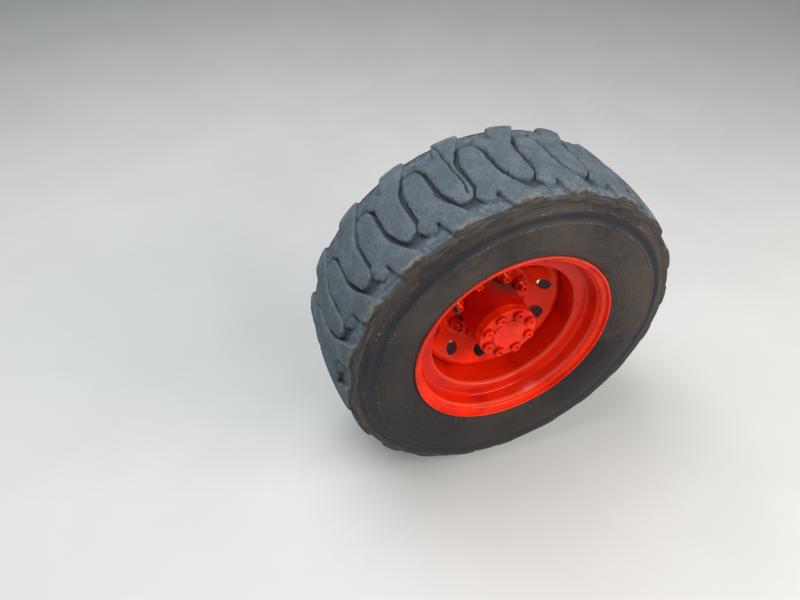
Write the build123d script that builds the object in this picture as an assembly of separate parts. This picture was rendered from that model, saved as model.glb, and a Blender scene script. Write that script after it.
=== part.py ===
# Wheel of a rough-terrain scissor lift, on the axle spindle that carries it.
# Frame: millimetres, +Z up. The wheel turns about Y. Its outboard face looks towards -Y.
# The origin is the centre of the spindle's bolting face, which looks towards +Y.

from build123d import *
import math
import os

os.makedirs("parts", exist_ok=True)

# Rim: one-piece drop-centre rim with tapered bead seats
flange_diameter = 444.5
bead_seat_diameter = 419.1
bead_seat_taper = 15.0
between_flanges = 209.6
flange_curl = 13.2
rim_sheet = 5.5
well_diameter = 332.0
well_wall_depth = 46.0
well_end_depth = 128.0
well_slope_run = 18.0
flange_bend = 8.0
heel_bend = 3.2
well_lip_bend = 13.5
well_foot_bend = 1.0
slope_bend = 12.0

# Tyre: worn rough-terrain tyre with bar lugs
tyre_diameter = 754.0
section_width = 267.0
widest_diameter = 556.0
tread_width = 246.0
crown_drop = 12.0
shoulder_drop = 26.0
shoulder_round = 15.0
sidewall_top_drop = 40.0
lug_depth = 13.0
under_tread = 21.0
sidewall_thickness = 15.0
bead_width = 34.0
bead_clearance = 0.3

# Tread: each side has a row of bars, and the two rows interlock
# Lengths along the tread's run are measured from the bar's middle line,
# and lengths across it from the tyre's middle plane.
lugs_per_side = 20
lug_turn = 101.85
bar_width = 50.0
bar_root = 5.0
bar_tip_start = 47.0
bar_tip_across = 68.0
bar_tip_offset = 6.0
bar_tip_end = 58.0
bar_tip_end_height = 13.0
bar_taper_across = 22.0
foot_start_across = 16.0
foot_knee_across = 42.0
foot_knee_lean = 4.5
foot_end_across = 112.0
foot_end_lean = 45.0
foot_end_width = 57.0
foot_corner_across = 104.0
tab_start_across = 37.0
tab_corner_across = 68.0
tab_reach = 12.5
tab_end_across = 101.0
tab_end_height = 19.0
tab_end_bevel = 7.0
notch_start_across = 77.0
notch_height = 1.0
notch_width = 3.0

# Disc: dished plate welded into the rim's well
disc_sheet = 8.0
pad_depth = 139.5
pad_edge_margin = 21.45
disc_cone = 38.5
disc_crest_bend = 12.0
disc_pad_bend = 8.0
disc_skirt = 14.0
disc_weld_gap = 0.1
disc_bore_play = 1.3
hand_hole_count = 10
hand_hole_diameter = 34.0
hand_hole_pad_margin = 26.2
hand_hole_turn = 14.3

# Hub and wheel fixings
stud_count = 8
stud_turn = 27.5
stud_diameter = 18.0
stud_fit = 0.1
stud_hole_play = 0.8
stud_stick_out = 14.0
stud_head_diameter = 25.0
stud_head_thickness = 7.0
nut_across_flats = 27.0
nut_height = 16.0
nut_corner = 2.5
nut_pilot_gap = 0.76
hub_flange_edge_margin = 20.45
hub_flange_thickness = 16.0
hub_face_depth = 49.6
hub_pilot_diameter = 132.4
hub_pilot_height = 5.0
hub_pilot_step = 1.1
hub_rear_length = 54.0
hub_rear_step = 1.0
stud_head_gap = 1.05
hub_cavity_diameter = 96.0

# Drive flange on the hub's outboard end, with the shaft that turns it
drive_flange_thickness = 14.0
drive_boss_gap = 4.33
drive_boss_height = 4.0
drive_bolt_count = 8
drive_bolt_edge_margin = 13.8
drive_bolt_diameter = 12.0
drive_bolt_fit = 0.1
drive_bolt_play = 0.5
drive_bolt_flats = 19.0
drive_bolt_head = 8.0
drive_bolt_grip = 22.0
drive_bolt_hole_depth = 26.0
drive_centre_diameter = 12.0
drive_centre_depth = 2.0
drive_edge_break = 1.5
drive_shaft_diameter = 38.0
drive_shaft_setback = 10.0

# Spindle
rim_back_gap = 24.0
spindle_flange_diameter = 184.0
spindle_flange_thickness = 16.0
spindle_bolt_count = 8
spindle_bolt_circle = 152.0
spindle_bolt_hole = 13.5
spindle_bolt_turn = 22.5
inner_journal_diameter = 84.0
inner_journal_length = 40.0
outer_journal_diameter = 64.0
outer_journal_length = 32.0
journal_clearance = 0.05
thrust_gap = 1.0
nose_gap = 6.4
spindle_bore_diameter = 50.0
spindle_collar_diameter = 100.0
spindle_root_round = 8.0

# Seal at the hub's inboard end
seal_width = 9.0
seal_rim_height = 6.0
seal_clearance = 0.05

# Valve through the rim's well wall
valve_turn = 139.0
valve_hole_diameter = 11.5
valve_foot_gap = 1.75
valve_fit = 0.1
valve_button_diameter = 12.5
valve_button_thickness = 3.0
valve_stem_diameter = 9.0
valve_stem_length = 18.0
valve_cap_diameter = 8.0
valve_cap_length = 9.0
valve_bulb_length = 8.0


def across_corners(flats):
    """A hexagon's width over its corners, from its width over its flats."""
    return flats / math.cos(math.radians(30))


# Values worked out from the sizes above
flange_radius = flange_diameter / 2
seat_radius = bead_seat_diameter / 2
well_radius = well_diameter / 2
rim_width = between_flanges + 2 * flange_curl
mouth = -(rim_width + rim_back_gap)
middle = mouth + rim_width / 2
seat_fall = math.tan(math.radians(bead_seat_taper))
tyre_radius = tyre_diameter / 2
sidewall_top = tyre_radius - sidewall_top_drop
disc_bore_diameter = hub_pilot_diameter + 2 * disc_bore_play
hub_barrel_diameter = hub_pilot_diameter - 2 * hub_pilot_step
stud_circle = hub_pilot_diameter + across_corners(nut_across_flats) + 2 * nut_pilot_gap
hub_flange_diameter = stud_circle + 2 * hub_flange_edge_margin
hub_root_diameter = stud_circle - stud_head_diameter - 2 * stud_head_gap
hub_rear_diameter = hub_root_diameter - 2 * hub_rear_step
pad_diameter = stud_circle + 2 * pad_edge_margin
hand_hole_circle = pad_diameter + 2 * hand_hole_pad_margin
drive_bolt_circle = hub_barrel_diameter - 2 * drive_bolt_edge_margin
drive_boss_diameter = drive_bolt_circle - across_corners(drive_bolt_flats) - 2 * drive_boss_gap
pad_front = mouth + pad_depth
pad_back = pad_front + disc_sheet
hub_flange_back = pad_back + hub_flange_thickness
hub_front = mouth + hub_face_depth
drive_front = hub_front - drive_flange_thickness
hub_back = hub_flange_back + hub_rear_length
seal_front = hub_back - seal_width
seal_pocket_radius = spindle_collar_diameter / 2 + seal_rim_height
nut_front = pad_front - nut_height
spindle_nose = hub_front + nose_gap
inner_journal_end = seal_front - inner_journal_length
outer_journal_end = spindle_nose + outer_journal_length
valve_face = mouth + well_wall_depth
valve_circle = well_diameter + 2 * (rim_sheet + valve_hole_diameter / 2 + valve_foot_gap)
lug_step = 360 / lugs_per_side

# How far a cutting tool runs past the face that it cuts
cut_over = 2.0


def at_angle(angle, piece):
    """Turns a piece made at angle 0 (on +X) about the wheel's axis, from +X towards +Z."""
    return Rot(0, -angle, 0) * piece


def turned(points):
    """Revolves a closed outline of (radius, y) points about the wheel's axis."""
    return revolve(make_face(Polyline(*points, close=True)), Axis.Y)


def pressed(points, bends, sheet):
    """Revolves a bent sheet: its outline is one face of the sheet, offset by the thickness."""
    path = FilletPolyline(*points, radius=bends)
    band = offset(path, amount=sheet, side=Side.LEFT)
    return revolve(make_face(band), Axis.Y)


def rod(radius, start, end):
    """A round bar along Y on the axis, from one station to the other."""
    return Pos(0, start, 0) * Rot(-90, 0, 0) * Cylinder(
        radius, end - start, align=(Align.CENTER, Align.CENTER, Align.MIN)
    )


def hexagon(flats, start, end):
    """A hexagonal bar along Y on the axis, from one station to the other."""
    outline = RegularPolygon(flats / 2, 6, major_radius=False)
    return Pos(0, start, 0) * Rot(-90, 0, 0) * extrude(outline, amount=end - start)


def round_ring(piece, count, circle, turn):
    """Copies a piece made on the axis to evenly spaced places on a bolt circle."""
    return [
        at_angle(turn + 360 / count * k, Pos(circle / 2, 0, 0) * piece) for k in range(count)
    ]


def make_rim():
    """One-piece rim: its outline is the side that the tyre sits on, from outboard to inboard."""
    seat_front = mouth + flange_curl
    seat_rear = mouth + rim_width - flange_curl
    wall = mouth + well_wall_depth + rim_sheet
    well = well_radius + rim_sheet
    slope_end = mouth + well_end_depth + well_slope_run
    points = [
        (flange_radius, mouth),
        (flange_radius, seat_front),
        (seat_radius, seat_front),
        (seat_radius - seat_fall * (wall - seat_front), wall),
        (well, wall),
        (well, mouth + well_end_depth),
        (seat_radius - seat_fall * (seat_rear - slope_end), slope_end),
        (seat_radius, seat_rear),
        (flange_radius, seat_rear),
        (flange_radius, mouth + rim_width),
    ]
    bends = [
        flange_bend, heel_bend, well_lip_bend, well_foot_bend,
        slope_bend, slope_bend, heel_bend, flange_bend,
    ]
    rim = pressed(points, bends, rim_sheet)
    hole = rod(valve_hole_diameter / 2, valve_face - cut_over, wall + cut_over)
    return rim - at_angle(valve_turn, Pos(valve_circle / 2, 0, 0) * hole)


def make_disc():
    """Dished plate: flat pad round the hub, cone with hand holes, rolled edge welded in the well."""
    cone_fall = math.tan(math.radians(disc_cone))
    edge = well_radius - disc_weld_gap
    corner = pad_front - cone_fall * (edge - pad_diameter / 2)
    points = [
        (disc_bore_diameter / 2, pad_front),
        (pad_diameter / 2, pad_front),
        (edge, corner),
        (edge, corner + disc_skirt + 2 * disc_crest_bend),
    ]
    disc = pressed(points, [disc_pad_bend, disc_crest_bend], disc_sheet)
    stud_hole = rod(stud_diameter / 2 + stud_hole_play, pad_front - cut_over, pad_back + cut_over)
    hole_y = pad_front - cone_fall * (hand_hole_circle / 2 - pad_diameter / 2)
    drill = Cylinder(hand_hole_diameter / 2, 4 * disc_sheet)
    drill = Pos(hand_hole_circle / 2, hole_y, 0) * Rot(0, 0, -disc_cone) * Rot(90, 0, 0) * drill
    drills = [
        at_angle(hand_hole_turn + 360 / hand_hole_count * k, drill) for k in range(hand_hole_count)
    ]
    return disc - round_ring(stud_hole, stud_count, stud_circle, stud_turn) - drills


def make_hub():
    """Hub: barrel with a wheel flange, bored to run on the spindle's two journals."""
    inner = inner_journal_diameter / 2 + journal_clearance
    outer = outer_journal_diameter / 2 + journal_clearance
    hub = turned([
        (outer, hub_front),
        (hub_barrel_diameter / 2, hub_front),
        (hub_barrel_diameter / 2, pad_front - hub_pilot_height),
        (hub_pilot_diameter / 2, pad_front - hub_pilot_height),
        (hub_pilot_diameter / 2, pad_back),
        (hub_flange_diameter / 2, pad_back),
        (hub_flange_diameter / 2, hub_flange_back),
        (hub_root_diameter / 2, hub_flange_back),
        (hub_rear_diameter / 2, hub_back),
        (seal_pocket_radius, hub_back),
        (seal_pocket_radius, seal_front),
        (inner, seal_front),
        (inner, inner_journal_end),
        (hub_cavity_diameter / 2, inner_journal_end),
        (hub_cavity_diameter / 2, outer_journal_end),
        (outer, outer_journal_end),
    ])
    stud_hole = rod(stud_diameter / 2 + stud_fit, pad_back - cut_over, hub_flange_back + cut_over)
    bolt_hole = rod(
        drive_bolt_diameter / 2 + drive_bolt_fit, hub_front - cut_over, hub_front + drive_bolt_hole_depth
    )
    hub = hub - round_ring(stud_hole, stud_count, stud_circle, stud_turn)
    return hub - round_ring(bolt_hole, drive_bolt_count, drive_bolt_circle, stud_turn)


def make_drive_flange():
    """Axle-shaft flange that closes the hub's outboard end, forged in one with its shaft."""
    edge = hub_barrel_diameter / 2
    boss = drive_boss_diameter / 2
    boss_front = drive_front - drive_boss_height
    flange = turned([
        (0, boss_front + drive_centre_depth),
        (drive_centre_diameter / 2, boss_front),
        (boss - drive_edge_break, boss_front),
        (boss, boss_front + drive_edge_break),
        (boss, drive_front),
        (edge - drive_edge_break, drive_front),
        (edge, drive_front + drive_edge_break),
        (edge, hub_front),
        (drive_shaft_diameter / 2, hub_front),
        (drive_shaft_diameter / 2, -drive_shaft_setback - drive_edge_break),
        (drive_shaft_diameter / 2 - drive_edge_break, -drive_shaft_setback),
        (0, -drive_shaft_setback),
    ])
    hole = rod(drive_bolt_diameter / 2 + drive_bolt_play, drive_front - cut_over, hub_front + cut_over)
    return flange - round_ring(hole, drive_bolt_count, drive_bolt_circle, stud_turn)


def make_drive_bolt():
    """Hexagon bolt, made on the axis: head on the drive flange, shank into the hub."""
    head = hexagon(drive_bolt_flats, drive_front - drive_bolt_head, drive_front)
    crown = drive_bolt_flats / 2
    rounding = turned([
        (0, drive_front - drive_bolt_head),
        (crown, drive_front - drive_bolt_head),
        (crown + drive_edge_break, drive_front - drive_bolt_head + drive_edge_break),
        (crown + drive_edge_break, drive_front),
        (0, drive_front),
    ])
    shank = rod(drive_bolt_diameter / 2, drive_front, hub_front + drive_bolt_grip)
    return (head & rounding) + shank


def make_stud():
    """Wheel stud, made on the axis: round head behind the hub flange, threaded end outboard."""
    tip = nut_front - stud_stick_out
    return turned([
        (0, tip),
        (stud_diameter / 2 - drive_edge_break, tip),
        (stud_diameter / 2, tip + drive_edge_break),
        (stud_diameter / 2, hub_flange_back),
        (stud_head_diameter / 2, hub_flange_back),
        (stud_head_diameter / 2, hub_flange_back + stud_head_thickness),
        (0, hub_flange_back + stud_head_thickness),
    ])


def make_nut():
    """Wheel nut, made on the axis and seated on the disc's pad."""
    body = hexagon(nut_across_flats, nut_front, pad_front)
    crown = nut_across_flats / 2
    bore = stud_diameter / 2 + stud_fit
    rounding = turned([
        (bore, nut_front),
        (crown, nut_front),
        (crown + nut_corner, nut_front + nut_corner),
        (crown + nut_corner, pad_front),
        (bore, pad_front),
    ])
    return body & rounding


def make_spindle():
    """Fixed spindle: bolting flange, seal collar, two journals and a through bore for the shaft."""
    bore = spindle_bore_diameter / 2
    collar = spindle_collar_diameter / 2
    flange_front = -spindle_flange_thickness
    spindle = turned([
        (bore, 0),
        (spindle_flange_diameter / 2, 0),
        (spindle_flange_diameter / 2, flange_front),
        (collar + spindle_root_round, flange_front),
        (collar, flange_front - spindle_root_round),
        (collar, seal_front + thrust_gap),
        (inner_journal_diameter / 2, seal_front + thrust_gap),
        (inner_journal_diameter / 2, inner_journal_end),
        (outer_journal_diameter / 2, outer_journal_end),
        (outer_journal_diameter / 2, spindle_nose),
        (bore, spindle_nose),
    ])
    hole = rod(spindle_bolt_hole / 2, flange_front - cut_over, cut_over)
    return spindle - round_ring(hole, spindle_bolt_count, spindle_bolt_circle, spindle_bolt_turn)


def make_seal():
    """Seal ring pressed into the hub's inboard end, running on the spindle's collar."""
    lip = spindle_collar_diameter / 2 + seal_clearance
    return turned([
        (lip, seal_front),
        (seal_pocket_radius, seal_front),
        (seal_pocket_radius, hub_back),
        (lip, hub_back),
    ])


def make_valve():
    """Tyre valve, made on the axis: button, tapered stem and cap, with its bulb behind the wall."""
    wall = valve_face + rim_sheet
    hole = valve_hole_diameter / 2 - valve_fit
    button = valve_button_diameter / 2
    button_front = valve_face - valve_button_thickness
    stem_front = button_front - valve_stem_length
    return turned([
        (0, stem_front - valve_cap_length),
        (valve_cap_diameter / 2, stem_front - valve_cap_length),
        (valve_cap_diameter / 2, stem_front),
        (valve_stem_diameter / 2, stem_front),
        (hole, button_front),
        (button, button_front),
        (button, valve_face),
        (hole, valve_face),
        (hole, wall),
        (button, wall),
        (hole, wall + valve_bulb_length),
        (0, wall + valve_bulb_length),
    ])


def both_sides(half):
    """Completes an outline from its outboard half by mirroring it in the tyre's middle plane."""
    return half + mirror(half, about=Plane((0, middle, 0), z_dir=(0, 1, 0)))


def make_tyre():
    """Carcass with its beads, hollow inside, and the two rows of bars moulded on it."""
    seat_front = middle - between_flanges / 2
    heel_low = (
        seat_radius - seat_fall * heel_bend + bead_clearance, seat_front + heel_bend + bead_clearance,
    )
    heel_high = (seat_radius + heel_bend + bead_clearance, seat_front + bead_clearance)
    toe_y = seat_front + bead_width
    toe = (seat_radius - seat_fall * bead_width + bead_clearance, toe_y)
    bend_centre = flange_radius - flange_bend
    bend_start = (bend_centre, seat_front + bead_clearance)
    reach = flange_bend + bead_clearance
    bend_middle = (
        bend_centre + reach * math.sin(math.radians(45)),
        seat_front - flange_bend + reach * math.cos(math.radians(45)),
    )
    bend_end = (bend_centre + reach, seat_front - flange_bend)
    side = middle - section_width / 2
    edge = middle - tread_width / 2
    widest = (widest_diameter / 2, side)
    shoulder = (sidewall_top, edge)
    under_edge = (tyre_radius - crown_drop - lug_depth, edge + shoulder_round)
    under_crown = (tyre_radius - lug_depth, middle)
    inner_edge = (under_edge[0] - under_tread, edge + shoulder_round + sidewall_thickness)
    inner_crown = (under_crown[0] - under_tread, middle)
    inner_widest = (widest[0], side + sidewall_thickness)
    inner_bead = (flange_radius, seat_front + sidewall_thickness)
    half = (
        Polyline(toe, heel_low, heel_high, bend_start)
        + ThreePointArc(bend_start, bend_middle, bend_end)
        + ThreePointArc(bend_end, widest, shoulder)
        + Line(shoulder, under_edge)
        + Line(toe, inner_bead)
        + ThreePointArc(inner_bead, inner_widest, inner_edge)
    )
    far_under_edge = (under_edge[0], 2 * middle - under_edge[1])
    far_inner_edge = (inner_edge[0], 2 * middle - inner_edge[1])
    outline = (
        both_sides(half)
        + ThreePointArc(under_edge, under_crown, far_under_edge)
        + ThreePointArc(inner_edge, inner_crown, far_inner_edge)
    )
    carcass = revolve(make_face(outline), Axis.Y)
    bar = make_bar()
    far_bar = mirror(bar, about=Plane((0, middle, 0), z_dir=(0, 1, 0)))
    bars = []
    for k in range(lugs_per_side):
        bars.append(at_angle(lug_turn + lug_step * k, bar))
        bars.append(at_angle(lug_turn + lug_step * (k + 0.5), far_bar))
    return carcass + bars


def tread_ring():
    """Ring whose outside is the worn tread's crown and shoulders, and whose inside is in the carcass."""
    edge = middle - tread_width / 2
    shoulder = (sidewall_top, edge)
    corner_low = (tyre_radius - shoulder_drop, edge)
    crown_edge = (tyre_radius - crown_drop, edge + shoulder_round)
    inside_shoulder = (sidewall_top - bar_root, edge + bar_root)
    inside_edge = (
        tyre_radius - crown_drop - lug_depth - 2 * bar_root, edge + shoulder_round + bar_root,
    )
    inside_crown = (tyre_radius - lug_depth - 2 * bar_root, middle)
    crown = (tyre_radius, middle)
    bulge = math.sqrt(0.5)
    corner_middle = (
        corner_low[0] + (crown_edge[0] - corner_low[0]) * bulge,
        crown_edge[1] - shoulder_round * bulge,
    )
    half = (
        Line(inside_edge, inside_shoulder)
        + Line(inside_shoulder, shoulder)
        + Line(shoulder, corner_low)
        + ThreePointArc(corner_low, corner_middle, crown_edge)
    )
    outline = (
        both_sides(half)
        + ThreePointArc(crown_edge, crown, (crown_edge[0], 2 * middle - crown_edge[1]))
        + ThreePointArc(inside_edge, inside_crown, (inside_edge[0], 2 * middle - inside_edge[1]))
    )
    return revolve(make_face(outline), Axis.Y)


def bar_outline():
    """One outboard bar as (across, along): round tip, leaning foot, and a tab with a notch beside it."""
    high = bar_width / 2
    low = -high
    over_edge = tread_width / 2 + shoulder_round
    foot_low = low - foot_end_lean
    tip_start = (bar_tip_start, low)
    tip_end = (bar_tip_end, bar_tip_end_height)
    side = Polyline(
        tip_end,
        (bar_taper_across, high),
        (-tab_start_across, high),
        (-tab_corner_across, high + tab_reach),
        (-tab_end_across, tab_end_height),
        (-tab_end_across, notch_height + tab_end_bevel),
        (tab_end_bevel - tab_end_across, notch_height),
        (-notch_start_across, notch_height),
        (-notch_start_across, notch_height - notch_width),
        (-foot_corner_across, notch_height - notch_width),
        (-foot_end_across, foot_low + foot_end_width),
        (-over_edge, foot_low + foot_end_width),
        (-over_edge, foot_low),
        (-foot_end_across, foot_low),
        (-foot_knee_across, low - foot_knee_lean),
        (-foot_start_across, low),
        tip_start,
    )
    tip = ThreePointArc(tip_start, (bar_tip_across, -bar_tip_offset), tip_end)
    return make_face(side + tip)


def make_bar():
    """One outboard bar at angle 0, cut to the tread's crown and rooted in the carcass."""
    inside = sidewall_top - 2 * bar_root
    sketch = Plane((inside, middle, 0), x_dir=(0, 1, 0), z_dir=(1, 0, 0)) * bar_outline()
    block = extrude(sketch, amount=tyre_radius - inside + cut_over, dir=(1, 0, 0))
    return block & tread_ring()


nodes = {
    "spindle": make_spindle(),
    "hub": make_hub(),
    "hub_seal": make_seal(),
    "drive_flange": make_drive_flange(),
    "drive_flange_bolts": Compound(
        children=round_ring(make_drive_bolt(), drive_bolt_count, drive_bolt_circle, stud_turn)
    ),
    "wheel_studs": Compound(children=round_ring(make_stud(), stud_count, stud_circle, stud_turn)),
    "wheel_nuts": Compound(children=round_ring(make_nut(), stud_count, stud_circle, stud_turn)),
    "wheel_disc": make_disc(),
    "wheel_rim": make_rim(),
    "tyre_valve": at_angle(valve_turn, Pos(valve_circle / 2, 0, 0) * make_valve()),
    "tyre": make_tyre(),
}
for name, solid in nodes.items():
    export_step(solid, "parts/" + name + ".step")
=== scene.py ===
# Wheel of a rough-terrain scissor lift with its worn tyre, on the axle spindle that carries it.
# Metres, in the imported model's frame: the wheel turns about Y, and its outboard face looks
# towards -Y. Angles are from +X towards +Z.

import math

import bmesh
import bpy
import numpy as np
from mathutils import Matrix, Vector
from mathutils.geometry import delaunay_2d_cdt


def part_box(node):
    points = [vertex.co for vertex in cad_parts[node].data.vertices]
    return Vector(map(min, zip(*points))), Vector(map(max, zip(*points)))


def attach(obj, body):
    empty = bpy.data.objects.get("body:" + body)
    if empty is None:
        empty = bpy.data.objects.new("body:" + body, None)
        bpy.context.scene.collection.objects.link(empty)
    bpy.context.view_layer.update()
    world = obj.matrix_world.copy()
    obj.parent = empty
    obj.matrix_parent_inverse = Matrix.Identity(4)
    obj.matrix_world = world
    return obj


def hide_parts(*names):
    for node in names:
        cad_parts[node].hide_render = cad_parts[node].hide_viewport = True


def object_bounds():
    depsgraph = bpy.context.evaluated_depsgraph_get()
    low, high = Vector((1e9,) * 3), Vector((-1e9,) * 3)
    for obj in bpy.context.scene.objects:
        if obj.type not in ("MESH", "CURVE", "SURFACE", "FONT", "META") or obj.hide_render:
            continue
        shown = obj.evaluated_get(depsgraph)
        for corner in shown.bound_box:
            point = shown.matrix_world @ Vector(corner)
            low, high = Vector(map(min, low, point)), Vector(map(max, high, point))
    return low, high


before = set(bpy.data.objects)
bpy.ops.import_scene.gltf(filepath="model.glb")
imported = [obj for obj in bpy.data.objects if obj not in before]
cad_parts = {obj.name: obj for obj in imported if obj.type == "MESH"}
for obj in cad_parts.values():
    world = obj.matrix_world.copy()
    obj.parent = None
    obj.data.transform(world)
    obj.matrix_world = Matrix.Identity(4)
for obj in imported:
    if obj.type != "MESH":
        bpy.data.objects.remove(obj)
cad_low, cad_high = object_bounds()

mm = 0.001
full_turn = 2 * math.pi


def reach(node):
    """Largest distance of a node from the wheel's axis."""
    low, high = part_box(node)
    return max(high.x, high.z, -low.x, -low.z)


def stations(node):
    """Outboard and inboard ends of a node along the wheel's axis."""
    low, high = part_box(node)
    return low.y, high.y


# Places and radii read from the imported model
tyre_radius = reach("tyre")
tyre_front, tyre_back = stations("tyre")
middle = (tyre_front + tyre_back) / 2
flange_radius = reach("wheel_rim")
mouth, rim_back = stations("wheel_rim")
nut_front, pad_front = stations("wheel_nuts")
stud_tip, stud_back = stations("wheel_studs")
hub_front, hub_back = stations("hub")
hub_flange_radius = reach("hub")
boss_front, shaft_end = stations("drive_flange")
drive_radius = reach("drive_flange")
bolt_front = stations("drive_flange_bolts")[0]
seal_front, seal_back = stations("hub_seal")
seal_radius = reach("hub_seal")
spindle_nose, spindle_face = stations("spindle")
spindle_radius = reach("spindle")
valve_front, valve_back = stations("tyre_valve")

# How finely round shapes are divided, and the degrees past which an edge stays sharp
wheel_segments = 288
hub_segments = 144
small_segments = 40
bead_segments = 16
hexagon_side_steps = 10
chamfer_steps = 4
edge_steps = 6
ridge_steps = 6
dome_steps = 5
bend_steps = 6
liner_steps = 14
floor_steps = 8
sidewall_steps = 110
edge_sharp = 40
hexagon_sharp = 35
carcass_sharp = 60
arc_step = math.radians(15)
merge_distance = 0.01 * mm

# Rim
seat_radius = 209.55 * mm
seat_fall = math.tan(math.radians(15))
flange_curl = 13.2 * mm
rim_sheet = 5.5 * mm
well_radius = 166 * mm
well_wall_depth = 46 * mm
well_end_depth = 128 * mm
well_slope_run = 18 * mm
rim_bends = [8 * mm, 3.2 * mm, 13.5 * mm, 1.5 * mm, 12 * mm, 12 * mm, 3.2 * mm, 8 * mm]
lip_nose = 2.2 * mm

# Disc
disc_sheet = 8 * mm
disc_nose = 1.5 * mm
disc_cone = math.radians(38.5)
disc_cone_fall = math.tan(disc_cone)
pad_radius = 104 * mm
bore_radius = 67.5 * mm
crest_bend = 12 * mm
pad_bend = 8 * mm
disc_skirt = 14 * mm
disc_edge_depth = 24 * mm
hand_hole_count = 10
hand_hole_radius = 17 * mm
hand_hole_place = 130.2 * mm
hand_hole_turn = math.radians(14.3)
drill_reach = 30 * mm
drill_margin = 5 * mm

# Hub, its fixings and the drive flange
fixing_count = 8
fixing_turn = math.radians(27.5)
stud_place = 82.55 * mm
stud_radius = 9 * mm
stud_head_radius = 12.5 * mm
stud_recess = 6 * mm
stud_recess_radius = 4.8 * mm
stud_recess_ease = 0.8 * mm
stud_tip_ease = 1.4 * mm
stud_head_thickness = 7 * mm
stud_head_ease = 1 * mm
thread_start = 1.6 * mm
thread_pitch = 1.5 * mm
thread_depth = 0.6 * mm
thread_crest_end = 0.3 * thread_pitch
thread_root = 0.65 * thread_pitch
thread_under_nut = 3 * mm
countersink = 1.2 * mm
fixing_foot_ease = 0.6 * mm
nut_flats = 27 * mm
nut_crown = 0.47 * nut_flats
nut_hole_radius = stud_radius + 1 * mm
nut_hole_depth = 15.5 * mm
bolt_place = 51.3 * mm
bolt_flats = 19 * mm
bolt_crown = 0.46 * bolt_flats
bolt_dish_radius = 5 * mm
bolt_dish_depth = 4 * mm
bolt_head = 8 * mm
barrel_radius = 65.1 * mm
pilot_radius = 66.2 * mm
pilot_height = 5 * mm
hub_flange_thickness = 16 * mm
hub_root_radius = 69 * mm
hub_rear_radius = 68 * mm
hub_cavity_radius = 48 * mm
running_gap = 0.05 * mm
seat_ridge_radius = 20.5 * mm
seat_ridge_width = 2.6 * mm
relief_sink = 1 * mm
beads_between_nuts = 3
bead_radius = 2.4 * mm
bead_height = 2 * mm
bead_place = 69.2 * mm
bead_spread = math.radians(10)
boss_radius = 36 * mm
boss_height = 4 * mm
boss_dish = 0.8 * mm
boss_rim_ends = (9 * mm, 7.5 * mm)
boss_flare = 1 * mm
centre_dip = 2 * mm
centre_dip_ends = (4 * mm, 6 * mm)
shaft_radius = 19 * mm

# Spindle
collar_radius = 50 * mm
spindle_bore = 25 * mm
inner_journal_radius = 42 * mm
inner_journal_length = 40 * mm
outer_journal_radius = 32 * mm
outer_journal_length = 32 * mm
collar_past_seal = 1 * mm
spindle_flange_thickness = 16 * mm
spindle_hole_count = 8
spindle_hole_radius = 6.75 * mm
spindle_hole_place = 76 * mm
spindle_hole_turn = math.radians(22.5)

# Seal
seal_rim_width = 2 * mm
seal_lip_width = 1.8 * mm
seal_lip_rise = 1.2 * mm

# Valve
valve_turn = math.radians(139)
valve_place = 179 * mm
valve_tip_radius = 3.6 * mm
valve_cap_radius = 4 * mm
valve_cap_ends = (1 * mm, 9 * mm)
valve_neck_radius = 3.2 * mm
valve_neck_ends = (9.2 * mm, 10.5 * mm)
valve_stem_start = 11 * mm
valve_stem_tip_radius = 4.5 * mm
valve_stem_radius = 5.6 * mm
valve_stem_foot = 3 * mm
valve_button_radius = 6.25 * mm
valve_button_height = 2.6 * mm
valve_bulb_radius = 6.2 * mm

# Tyre: section
widest_radius = 278 * mm
half_section = (tyre_back - tyre_front) / 2
arc_swell = 0.7 * mm
half_tread = 123 * mm
crown_drop = 12 * mm
inboard_crown_drop = 3 * mm
crown_edge = 108 * mm
shoulder_round = 15 * mm
sidewall_top_radius = tyre_radius - 40 * mm
shelf_rise = 5 * mm
shelf_corner_drop = 2 * mm
shelf_corner_swell = 0.5 * mm
shelf_edge_inset = 0.6 * mm
shelf_width = 6 * mm
skirt_radius = sidewall_top_radius - 0.4 * mm
lug_depth = 13 * mm
under_tread = 21 * mm
floor_cover = 3.5 * mm
liner_shoulder_drop = 3 * mm
wall_thickness = 15 * mm
half_between_flanges = 104.8 * mm
bead_width = 34 * mm
bead_clearance = 0.3 * mm

# Tyre: tread plan, in millimetres
bars_per_side = 20
bar_turn = math.radians(101.85)
tread_reach = 144.5
plan_shift = 3
plan_margin = 12
plan_merge = 1e-4
seam_nudge = 0.01
ring_offsets = (0.8, -0.8, 2.6, -2.2, 5.0, -4.0, 8.0)
ring_spacing = 3.0
ring_room = 1.3
ring_trim = 1.5
ring_tolerance = 0.3
rail_inset = 1
line_spacing = 2.4
fill_spacing = 3.9
fill_room = 0.62 * fill_spacing
crowd_cell = 5
far_off = 1e9
border_spacing = 3.3
sole_places = (-tread_reach, -110, -60, 0, 60, 110, tread_reach)
sole_depth = lug_depth / mm + 7

# Tyre: how the tread is worn, in millimetres
even_wear = 0.9
edge_wear = ((1.7, 2), (1.3, 9))
edge_reach = 4
bar_side_ends = (-2.1, 1.1)
floor_rise = 0.2
floor_rise_ends = (66, 100)
outboard_fade = 113
inboard_fade = 119
fade_width = 19
skirt_dip = 3
skirt_width = 4
block_drop = 1.6
block_fall = 5.5
block_fall_ends = (77, 94)
block_side_ends = (-2, 2.5)
crease_depth = 3.4
crease_half_width = 4
tear_depth = 10
tear_half_width = 2.6
tear_flare = 0.6
tear_end_fade = 1.5

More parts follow.
